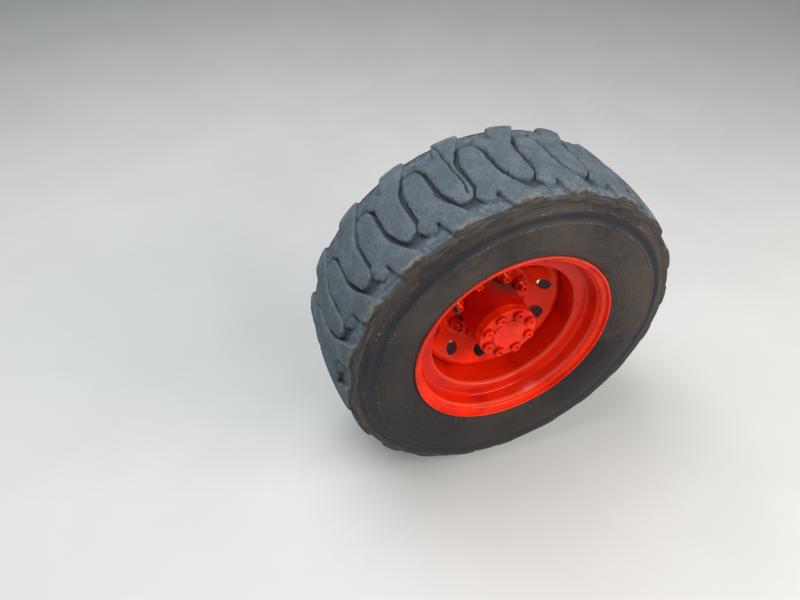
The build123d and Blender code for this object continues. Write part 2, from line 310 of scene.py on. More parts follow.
# Where finishes change, painted highlights and painted light among them: a pair of ends is where a
# change starts and where it is whole.
# The streaks' stretch and the lathe's marks are per metre of radius, and the crack's wander
# and fade are in radians.
barrel_dirt_turn = math.radians(40)
cast_grain_ends = (23 * mm, 26 * mm)
foot_shade_width = 6 * mm
ridge_highlight_ends = (2.5 * mm, 6 * mm)
lump_ends = (70 * mm, 100 * mm)
packed_ends = (78 * mm, 92 * mm)
flank_ends = (109 * mm, 117 * mm)
edge_highlight_ends = (108 * mm, 116 * mm)
ragged_width = 22 * mm
hollow_shift = -4.5 * mm
brink_line = 111 * mm
brink_fade_ends = (1 * mm, 9 * mm)
streak_stretch = 40.0
lit_side_turn = math.radians(50)
band_inner_ends = (308 * mm, 314 * mm)
band_outer_ends = (323 * mm, 332 * mm)
rub_lines = (307.5 * mm, 331 * mm)
rub_fade_ends = (0.8 * mm, 2.8 * mm)
crack_turn = math.radians(92.6)
crack_wander = 0.07
crack_fade_ends = (0.0018, 0.0042)
crack_inner_ends = (244 * mm, 250 * mm)
crack_outer_ends = (298 * mm, 304 * mm)
lathe_marks = 9000.0

# Where the paint changes, painted shade and highlights among them, each as a length past a radius or a
# face
barrel_shade_ends = (1.5 * mm, 6 * mm)
face_shade_ends = (3 * mm, 9 * mm)
foot_shade_ends = (-5 * mm, -1 * mm)
barrel_dirt_start = 12 * mm
barrel_dirt_end = -20 * mm
well_shade_ends = (-3 * mm, -1 * mm)
mouth_shade_ends = (15 * mm, 21 * mm)
rolled_edge_ends = (-18 * mm, -6 * mm)
rear_dark_ends = (-3.5 * mm, -0.5 * mm)
lip_chip_ends = (-5 * mm, -3 * mm)
nose_highlight_ends = (-1.6 * mm, -0.6 * mm)


# Outlines

def rounded(points, radii, closed=False):
    """Outline with its corners rounded: an open one has radii for its inner corners alone."""
    count = len(points)
    corners = [Vector(point) for point in points]
    if not closed:
        radii = [0, *radii, 0]
    outline = []
    for k, corner in enumerate(corners):
        if radii[k] == 0:
            outline.append(corner)
            continue
        before = (corners[k - 1] - corner).normalized()
        after = (corners[(k + 1) % count] - corner).normalized()
        half = before.angle(after) / 2
        centre = corner + (before + after).normalized() * radii[k] / math.sin(half)
        spoke = corner + before * radii[k] / math.tan(half) - centre
        side = 1 if before.x * after.y - before.y * after.x < 0 else -1
        sweep = side * (math.pi - 2 * half)
        steps = max(2, math.ceil(abs(sweep) / arc_step))
        for step in range(steps + 1):
            outline.append(centre + Matrix.Rotation(sweep * step / steps, 2) @ spoke)
    return outline


def arc_through(start, via, end, steps):
    """Points of the circle's arc from start through via to end."""
    (ax, ay), (bx, by), (cx, cy) = start, via, end
    d = 2 * (ax * (by - cy) + bx * (cy - ay) + cx * (ay - by))
    a, b, c = ax * ax + ay * ay, bx * bx + by * by, cx * cx + cy * cy
    centre = Vector((
        (a * (by - cy) + b * (cy - ay) + c * (ay - by)) / d,
        (a * (cx - bx) + b * (ax - cx) + c * (bx - ax)) / d,
    ))
    first = Vector(start) - centre
    last = Vector(end) - centre
    sweep = math.atan2(first.x * last.y - first.y * last.x, first.dot(last))
    return [centre + Matrix.Rotation(sweep * k / steps, 2) @ first for k in range(steps + 1)]


def directions(outline, closed=False):
    """Direction of an outline at each of its points, halfway between its two runs there."""
    points = np.array([tuple(point) for point in outline])
    runs = np.roll(points, -1, axis=0) - points
    runs /= np.maximum(np.linalg.norm(runs, axis=1), 1e-12)[:, None]
    back = np.roll(runs, 1, axis=0)
    if not closed:
        runs[-1] = back[-1]
        back[0] = runs[0]
    both = runs + back
    return points, both / np.linalg.norm(both, axis=1)[:, None]


def left_of(way):
    """Directions turned a quarter turn to the left."""
    return np.stack([-way[:, 1], way[:, 0]], axis=1)


def sheet_band(points, radii, thickness, nose):
    """Closed outline of a bent sheet: the given face, the face offset from it, and round edges."""
    face, along = directions(rounded(points, radii))
    face[0] += along[0] * nose
    face[-1] -= along[-1] * nose
    other = face - left_of(along) * thickness
    band = list(face)
    for end, sign in ((-1, 1), (0, -1)):
        centre = (face[end] + other[end]) / 2
        half = (face[end] - other[end]) / 2
        for k in range(1, edge_steps):
            angle = math.pi * k / edge_steps
            turned = half * math.cos(angle) + along[end] * nose * math.sin(angle)
            band.append(centre + sign * turned)
        if end == -1:
            band.extend(other[::-1])
    return band


# Meshes

def shown(name, data):
    """New object of a mesh, light or camera, in the scene."""
    thing = bpy.data.objects.new(name, data)
    bpy.context.scene.collection.objects.link(thing)
    return thing


def solid(name, verts, faces, sharp=edge_sharp):
    """Object from a closed mesh: doubles merged, faces turned outwards, smooth but for its edges."""
    mesh = bpy.data.meshes.new(name)
    mesh.from_pydata([tuple(v) for v in verts], [], faces)
    bm = bmesh.new()
    bm.from_mesh(mesh)
    bmesh.ops.remove_doubles(bm, verts=bm.verts, dist=merge_distance)
    bmesh.ops.recalc_face_normals(bm, faces=bm.faces)
    bm.to_mesh(mesh)
    bm.free()
    mesh.shade_smooth()
    mesh.set_sharp_from_angle(angle=math.radians(sharp))
    return shown(name, mesh)


def bands(count, rings, closed):
    """Faces between rings of points, each joined to the next, and the last to the first if closed."""
    faces = []
    for k in range(rings if closed else rings - 1):
        this, ahead = k * count, (k + 1) % rings * count
        for j in range(count):
            after = (j + 1) % count
            faces.append((this + j, this + after, ahead + after, ahead + j))
    return faces


def revolved(name, outline, segments=wheel_segments, sharp=edge_sharp):
    """Object of a closed outline of (radius, y) points turned about the wheel's axis."""
    points = np.array([tuple(point) for point in outline])
    angles = np.arange(segments) * full_turn / segments
    verts = np.stack([
        np.outer(np.cos(angles), points[:, 0]),
        np.tile(points[:, 1], (segments, 1)),
        np.outer(np.sin(angles), points[:, 0]),
    ], axis=2).reshape(-1, 3)
    return solid(name, verts, bands(len(points), segments, True), sharp)


def lathed(name, points, segments=hub_segments):
    """Object turned from closed points of radius, y and the round of the corner in millimetres."""
    outline = rounded([p[:2] for p in points], [p[2] * mm for p in points], closed=True)
    return revolved(name, outline, segments)


def bent_sheet(name, points, bends, thickness, nose):
    """Object turned from a bent sheet, given as its outer face's points of radius and y."""
    inwards = [(-radius, y) for radius, y in points]
    band = sheet_band(inwards, bends, thickness, nose)
    return revolved(name, [(-radius, y) for radius, y in band])


def drill_bit(radius, front, back):
    """Round cutter on the wheel's axis."""
    return revolved("drill", [(0, front), (radius, front), (radius, back), (0, back)], small_segments)


def hexagon_points(flats, limit, y):
    """Points round a hexagon about Y, held inside a circle of the given radius."""
    points = []
    for k in range(6 * hexagon_side_steps):
        angle = full_turn * k / (6 * hexagon_side_steps)
        slant = math.cos((angle + math.pi / 6) % (math.pi / 3) - math.pi / 6)
        radius = min(flats / 2 / slant, limit)
        points.append((radius * math.cos(angle), y, radius * math.sin(angle)))
    return points


def hexagon_head(name, flats, front, back, crown, hole_radius, hole_depth):
    """Hexagonal head or nut about Y: chamfered crown, flat sides, and a countersunk hole."""
    corner = flats / math.sqrt(3)
    chamfer = (corner - crown) / math.sqrt(3)
    rings = [
        hexagon_points(flats, hole_radius, front + hole_depth),
        hexagon_points(flats, hole_radius, front + countersink),
        hexagon_points(flats, hole_radius + 1.2 * countersink, front),
    ]
    for step in range(chamfer_steps + 1):
        share = step / chamfer_steps
        limit = crown + (corner - crown) * share
        rings.append(hexagon_points(flats, limit, front + chamfer * share))
    rings.append(hexagon_points(flats, flats, back - fixing_foot_ease))
    rings.append(hexagon_points(flats - 2 * fixing_foot_ease, flats, back))
    count = len(rings[0])
    ends = [tuple(range(count)), tuple(range((len(rings) - 1) * count, len(rings) * count))]
    verts = [point for points in rings for point in points]
    return solid(name, verts, ends + bands(count, len(rings), False), hexagon_sharp)


# Node trees

class Value:
    """What a node puts out. Arithmetic on it adds Math nodes to its tree."""

    def __init__(self, tree, socket):
        self.tree = tree
        self.socket = socket

    def __add__(self, other):
        return number("ADD", self, other)

    def __sub__(self, other):
        return number("SUBTRACT", self, other)

    def __rsub__(self, other):
        return number("SUBTRACT", other, self)

    def __mul__(self, other):
        return number("MULTIPLY", self, other)

    def __truediv__(self, other):
        return number("DIVIDE", self, other)

    def __rtruediv__(self, other):
        return number("DIVIDE", other, self)

    def __abs__(self):
        return number("ABSOLUTE", self)


def feed(tree, socket, value):
    """Gives a socket its value, which is what another node puts out or a constant."""
    if isinstance(value, Value):
        tree.links.new(value.socket, socket)
    else:
        socket.default_value = value


def add(tree, kind, inputs=None, **settings):
    """Adds a node with its settings and its inputs, named or by number."""
    node = tree.nodes.new(kind)
    for name, value in settings.items():
        setattr(node, name, value)
    for key, value in (inputs or {}).items():
        feed(tree, node.inputs[key], value)
    return node


def put(tree, kind, inputs=None, out=0, **settings):
    """Adds a node and gives what it puts out at one of its outputs."""
    return Value(tree, add(tree, kind, inputs, **settings).outputs[out])


def number(operation, *values):
    """A Math node's result, in the tree of the values that it works on."""
    tree = next(value.tree for value in values if isinstance(value, Value))
    return put(tree, "ShaderNodeMath", dict(enumerate(values)), operation=operation)


def vector(operation, a, b):
    """A Vector Math node's result."""
    return put(a.tree, "ShaderNodeVectorMath", {0: a, 1: b}, operation=operation)


def scaled(a, factor):
    """A vector times a number."""
    return put(a.tree, "ShaderNodeVectorMath", {0: a, "Scale": factor}, operation="SCALE")


def distance(a, b):
    """Distance over two steps at right angles."""
    return number("SQRT", a * a + b * b)


def ramp(value, start, end, low=0.0, high=1.0, kind="SMOOTHSTEP"):
    """A step of a value: low up to start, high from end on."""
    inputs = {"Value": value, "From Min": start, "From Max": end, "To Min": low, "To Max": high}
    return put(value.tree, "ShaderNodeMapRange", inputs, interpolation_type=kind)


def mixed(factor, a, b):
    """A colour between two, by a factor."""
    return put(factor.tree, "ShaderNodeMix", {0: factor, 6: a, 7: b}, 2, data_type="RGBA")


def layered(colour, *layers):
    """A colour under layers, each with the mask of where it covers and its own colour."""
    for mask, cover in layers:
        colour = mixed(mask, colour, cover)
    return colour


def noise(place, scale, detail=3.0, roughness=0.55):
    """Noise from 0 to 1 at a place."""
    inputs = {"Vector": place, "Scale": scale, "Detail": detail, "Roughness": roughness}
    return put(place.tree, "ShaderNodeTexNoise", inputs)


def parts(value, kind="ShaderNodeSeparateXYZ"):
    """The three parts of a vector, or of a colour with the node for colours."""
    return [Value(value.tree, socket) for socket in add(value.tree, kind, {0: value}).outputs]


def object_place(tree):
    """Place of a point in the piece's own frame."""
    return put(tree, "ShaderNodeTexCoord", out="Object")


def spaced(name):
    """A socket's name from a Python one."""
    return name.replace("_", " ")


def new_group(name, kind, **inputs):
    """Node group and its inputs, each with a start value or, where it has none, a socket type."""
    tree = bpy.data.node_groups.new(name, kind)
    for label, start in inputs.items():
        typed = isinstance(start, str)
        socket_type = start if typed else "Int" if isinstance(start, int) else "Float"
        socket = tree.interface.new_socket(
            spaced(label), in_out="INPUT", socket_type="NodeSocket" + socket_type,
        )
        if not typed:
            socket.default_value = start
    return tree, {socket.name: Value(tree, socket) for socket in add(tree, "NodeGroupInput").outputs}


def close_group(tree, socket_type="Float", **outputs):
    """The node group with its outputs."""
    for label in outputs:
        tree.interface.new_socket(label, in_out="OUTPUT", socket_type="NodeSocket" + socket_type)
    add(tree, "NodeGroupOutput", outputs)
    return tree


def ring_points(count, first_turn, place):
    """Points spaced evenly round the wheel's axis, the turn of a piece at each, and their numbers."""
    tree = count.tree
    points = put(tree, "GeometryNodePoints", {"Count": count})
    index = put(tree, "GeometryNodeInputIndex")
    turn = index * (full_turn / count) + first_turn
    spot = put(tree, "ShaderNodeCombineXYZ", {
        0: number("COSINE", turn) * place, 2: number("SINE", turn) * place,
    })
    placed = put(tree, "GeometryNodeSetPosition", {"Geometry": points, "Position": spot})
    return placed, put(tree, "ShaderNodeCombineXYZ", {1: turn * -1.0}), index


def copies_at(points, piece, lean):
    """Copies of a piece at points, each with its own turn, made one real mesh."""
    copies = put(points.tree, "GeometryNodeInstanceOnPoints", {
        "Points": points, "Instance": piece, "Rotation": lean,
    })
    return put(points.tree, "GeometryNodeRealizeInstances", {"Geometry": copies})


def noted(piece, name, value):
    """A piece with a number kept at each of its points."""
    inputs = {"Geometry": piece, "Name": name, "Value": value}
    return put(piece.tree, "GeometryNodeStoreNamedAttribute", inputs, data_type="FLOAT", domain="POINT")


def coated(piece, material):
    """A piece with its material."""
    inputs = {"Geometry": piece, "Material": material}
    return put(piece.tree, "GeometryNodeSetMaterial", inputs)


def ring_tree():
    """Geometry tree: copies of a piece round the wheel's axis, as bolts, nuts and beads need."""
    tree, given = new_group(
        "ring_of_pieces", "GeometryNodeTree",
        Piece="Geometry", Count=8, First_Turn=0.0, Place=0.1, Material="Material",
    )
    points, lean, _ = ring_points(given["Count"], given["First Turn"], given["Place"])
    copies = copies_at(points, given["Piece"], lean)
    return close_group(tree, "Geometry", Ring=coated(copies, given["Material"]))


def pitch_row_tree():
    """Geometry tree: the tread's pitch copied round, one bar torn, all worn and chipped by noise."""
    tree, given = new_group(
        "row_of_pitches", "GeometryNodeTree",
        Pitch="Geometry", Count=20, First_Turn=0.0, Torn_Place=0,
        Wander=6 * mm, Wander_Scale=24.0,
        Unevenness=0.9 * mm, Uneven_Scale=26.0,
        Chip_Depth=3.2 * mm, Chip_Scale=85.0,
        Dirt_Depth=2.2 * mm, Dirt_Scale=110.0,
        Material="Material",
    )
    points, lean, index = ring_points(given["Count"], given["First Turn"], 0.0)
    both = {2: index, 3: given["Torn Place"]}
    torn_here = put(tree, "FunctionNodeCompare", both, data_type="INT", operation="EQUAL")
    joined = copies_at(noted(points, "torn_here", torn_here), given["Pitch"], lean)
    whole = put(tree, "GeometryNodeMergeByDistance", {"Geometry": joined, "Distance": 0.1 * mm})
    known = {
        name: put(tree, "GeometryNodeInputNamedAttribute", {"Name": name}, data_type="FLOAT")
        for name in ("depth", "edge", "top", "reach", "torn", "torn_here")
    }
    spot = put(tree, "GeometryNodeInputPosition")
    outward = put(tree, "GeometryNodeInputNormal")
    swell = (noise(spot, given["Uneven Scale"]) - 0.5) * given["Unevenness"] * 2.0
    chips = ramp(noise(spot, given["Chip Scale"], 4.0), 0.52, 0.70)
    chips = chips * given["Chip Depth"] * known["edge"]
    lumps = (noise(spot, given["Dirt Scale"]) - 0.5) * given["Dirt Depth"] * (1.0 - known["top"])
    lumps = lumps * ramp(known["reach"], *lump_ends)
    tear = known["torn"] * known["torn_here"]
    rise = swell + lumps - chips - tear
    inputs = {"Vector": spot, "Scale": given["Wander Scale"]}
    drift = put(tree, "ShaderNodeTexNoise", inputs, "Color")
    drift = scaled(vector("SUBTRACT", drift, (0.5, 0.5, 0.5)), given["Wander"])
    sideways = vector("SUBTRACT", drift, vector("PROJECT", drift, outward))
    moved = vector("ADD", scaled(outward, rise), sideways)
    worn = put(tree, "GeometryNodeSetPosition", {"Geometry": whole, "Offset": moved})
    deeper = known["depth"] + (tear * 2.0 + chips) / lug_depth
    return close_group(
        tree, "Geometry", Row=coated(noted(worn, "depth", deeper), given["Material"]),
    )


def plain_mesh(piece):
    """Keeps what a piece's modifiers make as its plain mesh."""
    graph = bpy.context.evaluated_depsgraph_get()
    mesh = bpy.data.meshes.new_from_object(piece.evaluated_get(graph))
    piece.modifiers.clear()
    piece.data = mesh
    mesh.name = piece.name


def made_by(piece, tree, values):
    """Runs a geometry tree on a piece, with values for its named inputs."""
    modifier = piece.modifiers.new("made", "NODES")
    modifier.node_group = tree
    for item in tree.interface.items_tree:
        if item.in_out == "INPUT" and item.name in values:
            modifier[item.identifier] = values[item.name]
    bpy.context.view_layer.update()
    plain_mesh(piece)


def cut(piece, cutter):
    """Takes a cutter's shape out of a piece and removes the cutter."""
    modifier = piece.modifiers.new("cut", "BOOLEAN")
    modifier.object = cutter
    modifier.solver = "EXACT"
    plain_mesh(piece)
    bpy.data.objects.remove(cutter)
    piece.data.set_sharp_from_angle(angle=math.radians(edge_sharp))


ring_of_pieces = ring_tree()
row_of_pitches = pitch_row_tree()


def ring(piece, count, first_turn, place, material):
    """Copies a piece made on the wheel's axis to even places round it."""
    values = {"Count": count, "First Turn": first_turn, "Place": place, "Material": material}
    made_by(piece, ring_of_pieces, values)


# Effects that several materials use

def axis_place_group():
    """Shader group: distance of a point from the wheel's axis, and its turn about it."""
    tree, _ = new_group("axis_place", "ShaderNodeTree")
    x, _, z = parts(object_place(tree))
    return close_group(tree, Radius=distance(x, z), Turn=number("ARCTAN2", z, x))


def dust_group():
    """Shader group: where dust lies, in patches of two sizes, thicker on what faces up."""
    tree, given = new_group(
        "dust", "ShaderNodeTree", Scale=12.0, Cover=0.5, Softness=0.25, Upward=0.2,
    )
    spot = object_place(tree)
    broad = noise(spot, given["Scale"], 4.0, 0.6)
    fine = noise(spot, given["Scale"] * 9.0, 3.0, 0.65)
    up = parts(put(tree, "ShaderNodeNewGeometry", out="Normal"))[2]
    lifted = fine * 0.35 + broad * 0.65 + up * given["Upward"]
    level = 1.0 - given["Cover"]
    return close_group(tree, Mask=ramp(lifted, level, level + given["Softness"]))


def specks_group():
    """Shader group: small scattered specks or pits, one in each cell that chance picks."""
    tree, given = new_group("specks", "ShaderNodeTree", Scale=300.0, Size=0.25, Share=0.3)
    inputs = {"Vector": object_place(tree), "Scale": given["Scale"]}
    cells = add(tree, "ShaderNodeTexVoronoi", inputs).outputs
    chance, spread, _ = parts(Value(tree, cells["Color"]), "ShaderNodeSeparateColor")
    size = given["Size"] * (spread + 0.4)
    spots = ramp(Value(tree, cells["Distance"]), size, size * 0.6, kind="LINEAR")
    return close_group(tree, Mask=spots * number("LESS_THAN", chance, given["Share"]))


def grain_group():
    """Shader group: height of a fine grain over a coarser unevenness."""
    tree, given = new_group(
        "grain", "ShaderNodeTree", Fine_Scale=900.0, Coarse_Scale=90.0, Fine_Share=0.4,
    )
    spot = object_place(tree)
    coarse = noise(spot, given["Coarse Scale"], 5.0, 0.6)
    fine = noise(spot, given["Fine Scale"], 2.0)
    return close_group(tree, Height=fine * given["Fine Share"] + coarse)


axis_place = axis_place_group()
dust = dust_group()
specks = specks_group()
grain = grain_group()


def use(tree, group, **values):
    """Places a shared group with its own values; gives its one output, or a list of several."""
    inputs = {spaced(name): value for name, value in values.items()}
    node = add(tree, "ShaderNodeGroup", inputs, node_tree=group)
    given = [Value(tree, socket) for socket in node.outputs]
    return given if len(given) > 1 else given[0]


def new_material(name, **constants):
    """Material with one Principled shader; constants are set on the shader's own sockets."""
    material = bpy.data.materials.new(name)
    material.use_nodes = True
    tree = material.node_tree
    tree.nodes.clear()
    shader = add(tree, "ShaderNodeBsdfPrincipled")
    for label, value in constants.items():
        shader.inputs[spaced(label)].default_value = value
    tree.links.new(shader.outputs[0], add(tree, "ShaderNodeOutputMaterial").inputs["Surface"])
    return material, tree


def finished(material, **fields):
    """The material, with what changes over its surface fed to its shader."""
    tree = material.node_tree
    for label, value in fields.items():
        feed(tree, tree.nodes["Principled BSDF"].inputs[spaced(label)], value)
    return material


def bump(height, depth, strength):
    """Normal from a height."""
    inputs = {"Height": height, "Distance": depth, "Strength": strength}
    return put(height.tree, "ShaderNodeBump", inputs)


# Colours, in linear light
paint_red = (0.82, 0.024, 0.002, 1)
paint_deep = (0.43, 0.004, 0.001, 1)
paint_shaded = (0.36, 0.001, 0.002, 1)
paint_dust = (0.48, 0.13, 0.07, 1)
# Pale orange of the painted highlights on the rim's ridges and the lip's nose.
paint_highlight = (0.95, 0.19, 0.11, 1)
primer_grey = (0.115, 0.070, 0.062, 1)
grime = (0.060, 0.038, 0.030, 1)
# Near-black for the rim's inside behind the disc.
rear_dark = (0.034, 0.028, 0.025, 1)
# Dark rubber for random mottling, and for the painted shade in the tread's crevices.
rubber_dark = (0.024, 0.030, 0.036, 1)
rubber_worn = (0.072, 0.091, 0.104, 1)
rubber_dust = (0.128, 0.160, 0.178, 1)
rubber_tan = (0.185, 0.165, 0.130, 1)
flank_brown = (0.034, 0.030, 0.029, 1)
flank_pale = (0.080, 0.068, 0.059, 1)
hollow_dust = (0.068, 0.088, 0.108, 1)
# Pale crumbs in the hollows and random mottling, also the painted highlight on the bars' edges.
crumb_and_highlight_pale = (0.20, 0.205, 0.20, 1)
wall_brown = (0.0150, 0.0135, 0.0138, 1)
wall_pale = (0.060, 0.046, 0.038, 1)
wall_blue = (0.013, 0.016, 0.023, 1)
speck_pale = (0.26, 0.25, 0.23, 1)
steel_grey = (0.36, 0.35, 0.34, 1)
steel_brown = (0.11, 0.075, 0.050, 1)
seal_black = (0.020, 0.020, 0.021, 1)
floor_pale = (0.62, 0.61, 0.59, 1)
floor_shade = (0.5952, 0.5856, 0.5664, 1)


def round_fixings(radius, turn, circle, inner, outer):
    """Mask round each fixing on a circle: 1 at an inner distance, fading to 0 at an outer one."""
    step = full_turn / fixing_count
    turned = turn - (fixing_turn - step / 2)
    folded = number("FLOORED_MODULO", turned, step) - step / 2
    apart = distance(number("COSINE", folded) * radius - circle, number("SINE", folded) * radius)
    return ramp(apart, inner, outer, 1.0, 0.0)


def past(base, ends):
    """A pair of ends past a base."""
    return base + ends[0], base + ends[1]


def paint_material():
    """Glossy orange-red paint: orange peel, deeper patches, dust, a dirty barrel, a nicked lip; painted
    shade on the barrel, round the fixings' feet and in the well, painted highlights on the rim's ridges
    and the lip's nose, and near-black behind the disc.
    """
    material, tree = new_material("wheel_paint", Coat_Roughness=0.11, Specular_IOR_Level=0.05)
    radius, turn = use(tree, axis_place)
    spot = object_place(tree)
    y = parts(spot)[1]
    colour = mixed(ramp(noise(spot, 14.0, 4.0), 0.4, 0.8), paint_red, paint_deep)
    dusty = use(tree, dust, Scale=11.0, Cover=0.38, Softness=0.3, Upward=0.10) * 0.06
    # Painted shade: the barrel, and what lies near the axis behind the hub's face, darkened towards the
    # shaded red.
    near_barrel = ramp(radius, *past(barrel_radius, barrel_shade_ends), 1.0, 0.0)
    behind_face = ramp(y, *past(hub_front, face_shade_ends))
    colour = layered(
        colour, (dusty, paint_dust), (near_barrel * behind_face * 0.75, paint_shaded),
    )
    # Painted shade round the foot of each wheel nut and drive bolt, towards the shaded red.
    for circle, flats, foot in (
        (stud_place, nut_flats, pad_front), (bolt_place, bolt_flats, bolt_front + bolt_head),
    ):
        corner = 0.53 * flats
        shade = round_fixings(radius, turn, circle, corner, corner + foot_shade_width)
        shade = shade * ramp(y, *past(foot, foot_shade_ends), 0.0, 0.85)
        colour = mixed(shade, colour, paint_shaded)
    near_pad = ramp(y, hub_front + barrel_dirt_start, pad_front + barrel_dirt_end)
    dirt_side = ramp(number("COSINE", turn - barrel_dirt_turn), 0.1, 0.8)
    patch = ramp(noise(spot, 22.0, 5.0), 0.32, 0.62) * dirt_side
    dirty = near_barrel * near_pad * patch * 0.85
    # Painted shade: the rim's well, past the mouth, darkened towards the deep red.
    in_well = ramp(radius, *past(well_radius, well_shade_ends))
    in_well = in_well * ramp(y, *past(mouth, mouth_shade_ends), 0.0, 0.5)
    colour = layered(colour, (dirty, grime), (in_well, paint_deep))
    # Painted highlights: paler lines along the rim's two convex ridges.
    for ridge_radius, ridge_depth in (
        (seat_radius - rim_sheet, flange_curl), (well_radius, well_wall_depth),
    ):
        apart = distance(radius - ridge_radius, y - (mouth + ridge_depth + rim_sheet))
        colour = mixed(ramp(apart, *ridge_highlight_ends, 0.32, 0.0), colour, paint_highlight)
    # Near-black, in uneven patches, on the rim's inside behind the disc, seen through the hand holes.
    cone_rise = number("MAXIMUM", radius - pad_radius, 0.0)
    rolled = ramp(radius, *past(well_radius, rolled_edge_ends), 0.0, disc_edge_depth)
    behind = y - pad_front + cone_rise * disc_cone_fall - rolled
    uneven = ramp(noise(spot, 13.0, 5.0), 0.25, 0.55, 0.66, 0.96)
    behind = ramp(behind, *past(disc_sheet, rear_dark_ends)) * uneven
    # The lip: a painted highlight along its nose, and bare primer where it is nicked or chipped.
    on_lip = ramp(radius, *past(flange_radius, lip_chip_ends))
    on_nose = ramp(radius, *past(flange_radius, nose_highlight_ends), 0.0, 0.3)
    round_lip = put(tree, "ShaderNodeCombineXYZ", {0: turn})
    nicks = ramp(noise(round_lip, 46.0, 1.0), 0.60, 0.63)
    chips = ramp(noise(spot, 42.0, 5.0, 0.7), 0.60, 0.66)
    bare = on_lip * number("MAXIMUM", nicks, chips)
    colour = layered(
        colour, (behind, rear_dark), (on_nose, paint_highlight), (bare * 0.85, primer_grey),
    )
    dull = number("MAXIMUM", number("MAXIMUM", dirty, bare), behind)
    peel = use(tree, grain, Fine_Scale=420.0, Coarse_Scale=60.0, Fine_Share=0.25)
    cast = noise(spot, 260.0) * ramp(radius, *cast_grain_ends, 1.0, 0.0)
    return finished(
        material,
        Base_Color=colour,
        Roughness=dusty * 0.6 + 0.26 + dull * 0.4,
        Coat_Weight=dull * -0.26 + 0.26,
        Normal=bump(peel - bare * 0.6 + cast * 1.6, 0.5 * mm, 0.5),
    )


def tread_material():
    """Dusty worn rubber: painted shade deepening into the crevices, packed dirt, brown flanks, tan
    chipped brinks that are partly dirt and partly painted highlight, and painted highlights on the
    bars' edges.
    """
    material, tree = new_material("tread_rubber", Specular_IOR_Level=0.25)
    radius, turn = use(tree, axis_place)
    spot = object_place(tree)
    depth, edge, top, reach_across = (
        put(tree, "ShaderNodeAttribute", out="Fac", attribute_name=name)
        for name in ("depth", "edge", "top", "reach")
    )
    dusty = use(tree, dust, Scale=24.0, Cover=0.6, Softness=0.4, Upward=0.05)
    mottle = noise(spot, 190.0, 7.0, 0.75)
    off_bar = ramp(top, 0.2, 0.7, 1.0, 0.0)
    filled = off_bar * ramp(reach_across, *packed_ends) * 0.9
    crumbs = use(tree, specks, Scale=230.0, Size=0.32, Share=0.3) * 0.55
    packed = ramp(noise(spot, 75.0, 6.0, 0.7), 0.42, 0.62)
    packed = layered(hollow_dust, (packed, rubber_dust), (crumbs, crumb_and_highlight_pale))
    ragged = (noise(spot, 48.0, 5.0, 0.65) - 0.5) * ragged_width + reach_across
    ragged = ragged + off_bar * hollow_shift
    round_about = put(tree, "ShaderNodeCombineXYZ", {0: radius * streak_stretch, 1: turn})
    streaks = ramp(noise(round_about, 9.0, 5.0, 0.6), 0.40, 0.66)
    # Tan band along the shoulder's brink: partly dirt, partly painted highlight.
    brink = ramp(abs(ragged - brink_line), *brink_fade_ends, 1.0, 0.0)
    patchy = ramp(noise(spot, 110.0, 4.0), 0.40, 0.62, 0.15, 1.0) * (off_bar * -0.6 + 0.85)
    # Painted highlight: pale along the bars' top edges, fading out towards the shoulder.
    edge_highlight = ramp(noise(spot, 60.0, 4.0), 0.36, 0.6) * ramp(edge, 0.5, 0.95)
    edge_highlight = edge_highlight * ramp(top, 0.6, 0.95) * ramp(reach_across, *edge_highlight_ends, 1.0, 0.0) * 0.6
    colour = layered(
        rubber_worn,
        (dusty, rubber_dust),
        (ramp(mottle, 0.50, 0.34, 0.0, 0.5), rubber_dark),
        (ramp(mottle, 0.53, 0.68, 0.0, 0.3), crumb_and_highlight_pale),
        # Painted shade: darker with depth, near-black at the bottom of the tear and the chips.
        (ramp(depth, 0.34, 1.0, 0.0, 0.75), rubber_dark),
        (ramp(depth, 1.1, 1.45, 0.0, 0.92), seal_black),
        (filled, packed),
        (ramp(ragged, *flank_ends), mixed(streaks, flank_brown, flank_pale)),
        (brink * patchy, rubber_tan),
        (edge_highlight, crumb_and_highlight_pale),
    )
    rough = use(tree, grain, Fine_Scale=450.0, Coarse_Scale=95.0, Fine_Share=0.3)
    return finished(
        material,
        Base_Color=colour,
        Roughness=dusty * 0.12 + 0.78,
        Normal=bump(rough, 2.4 * mm, 0.65),
    )


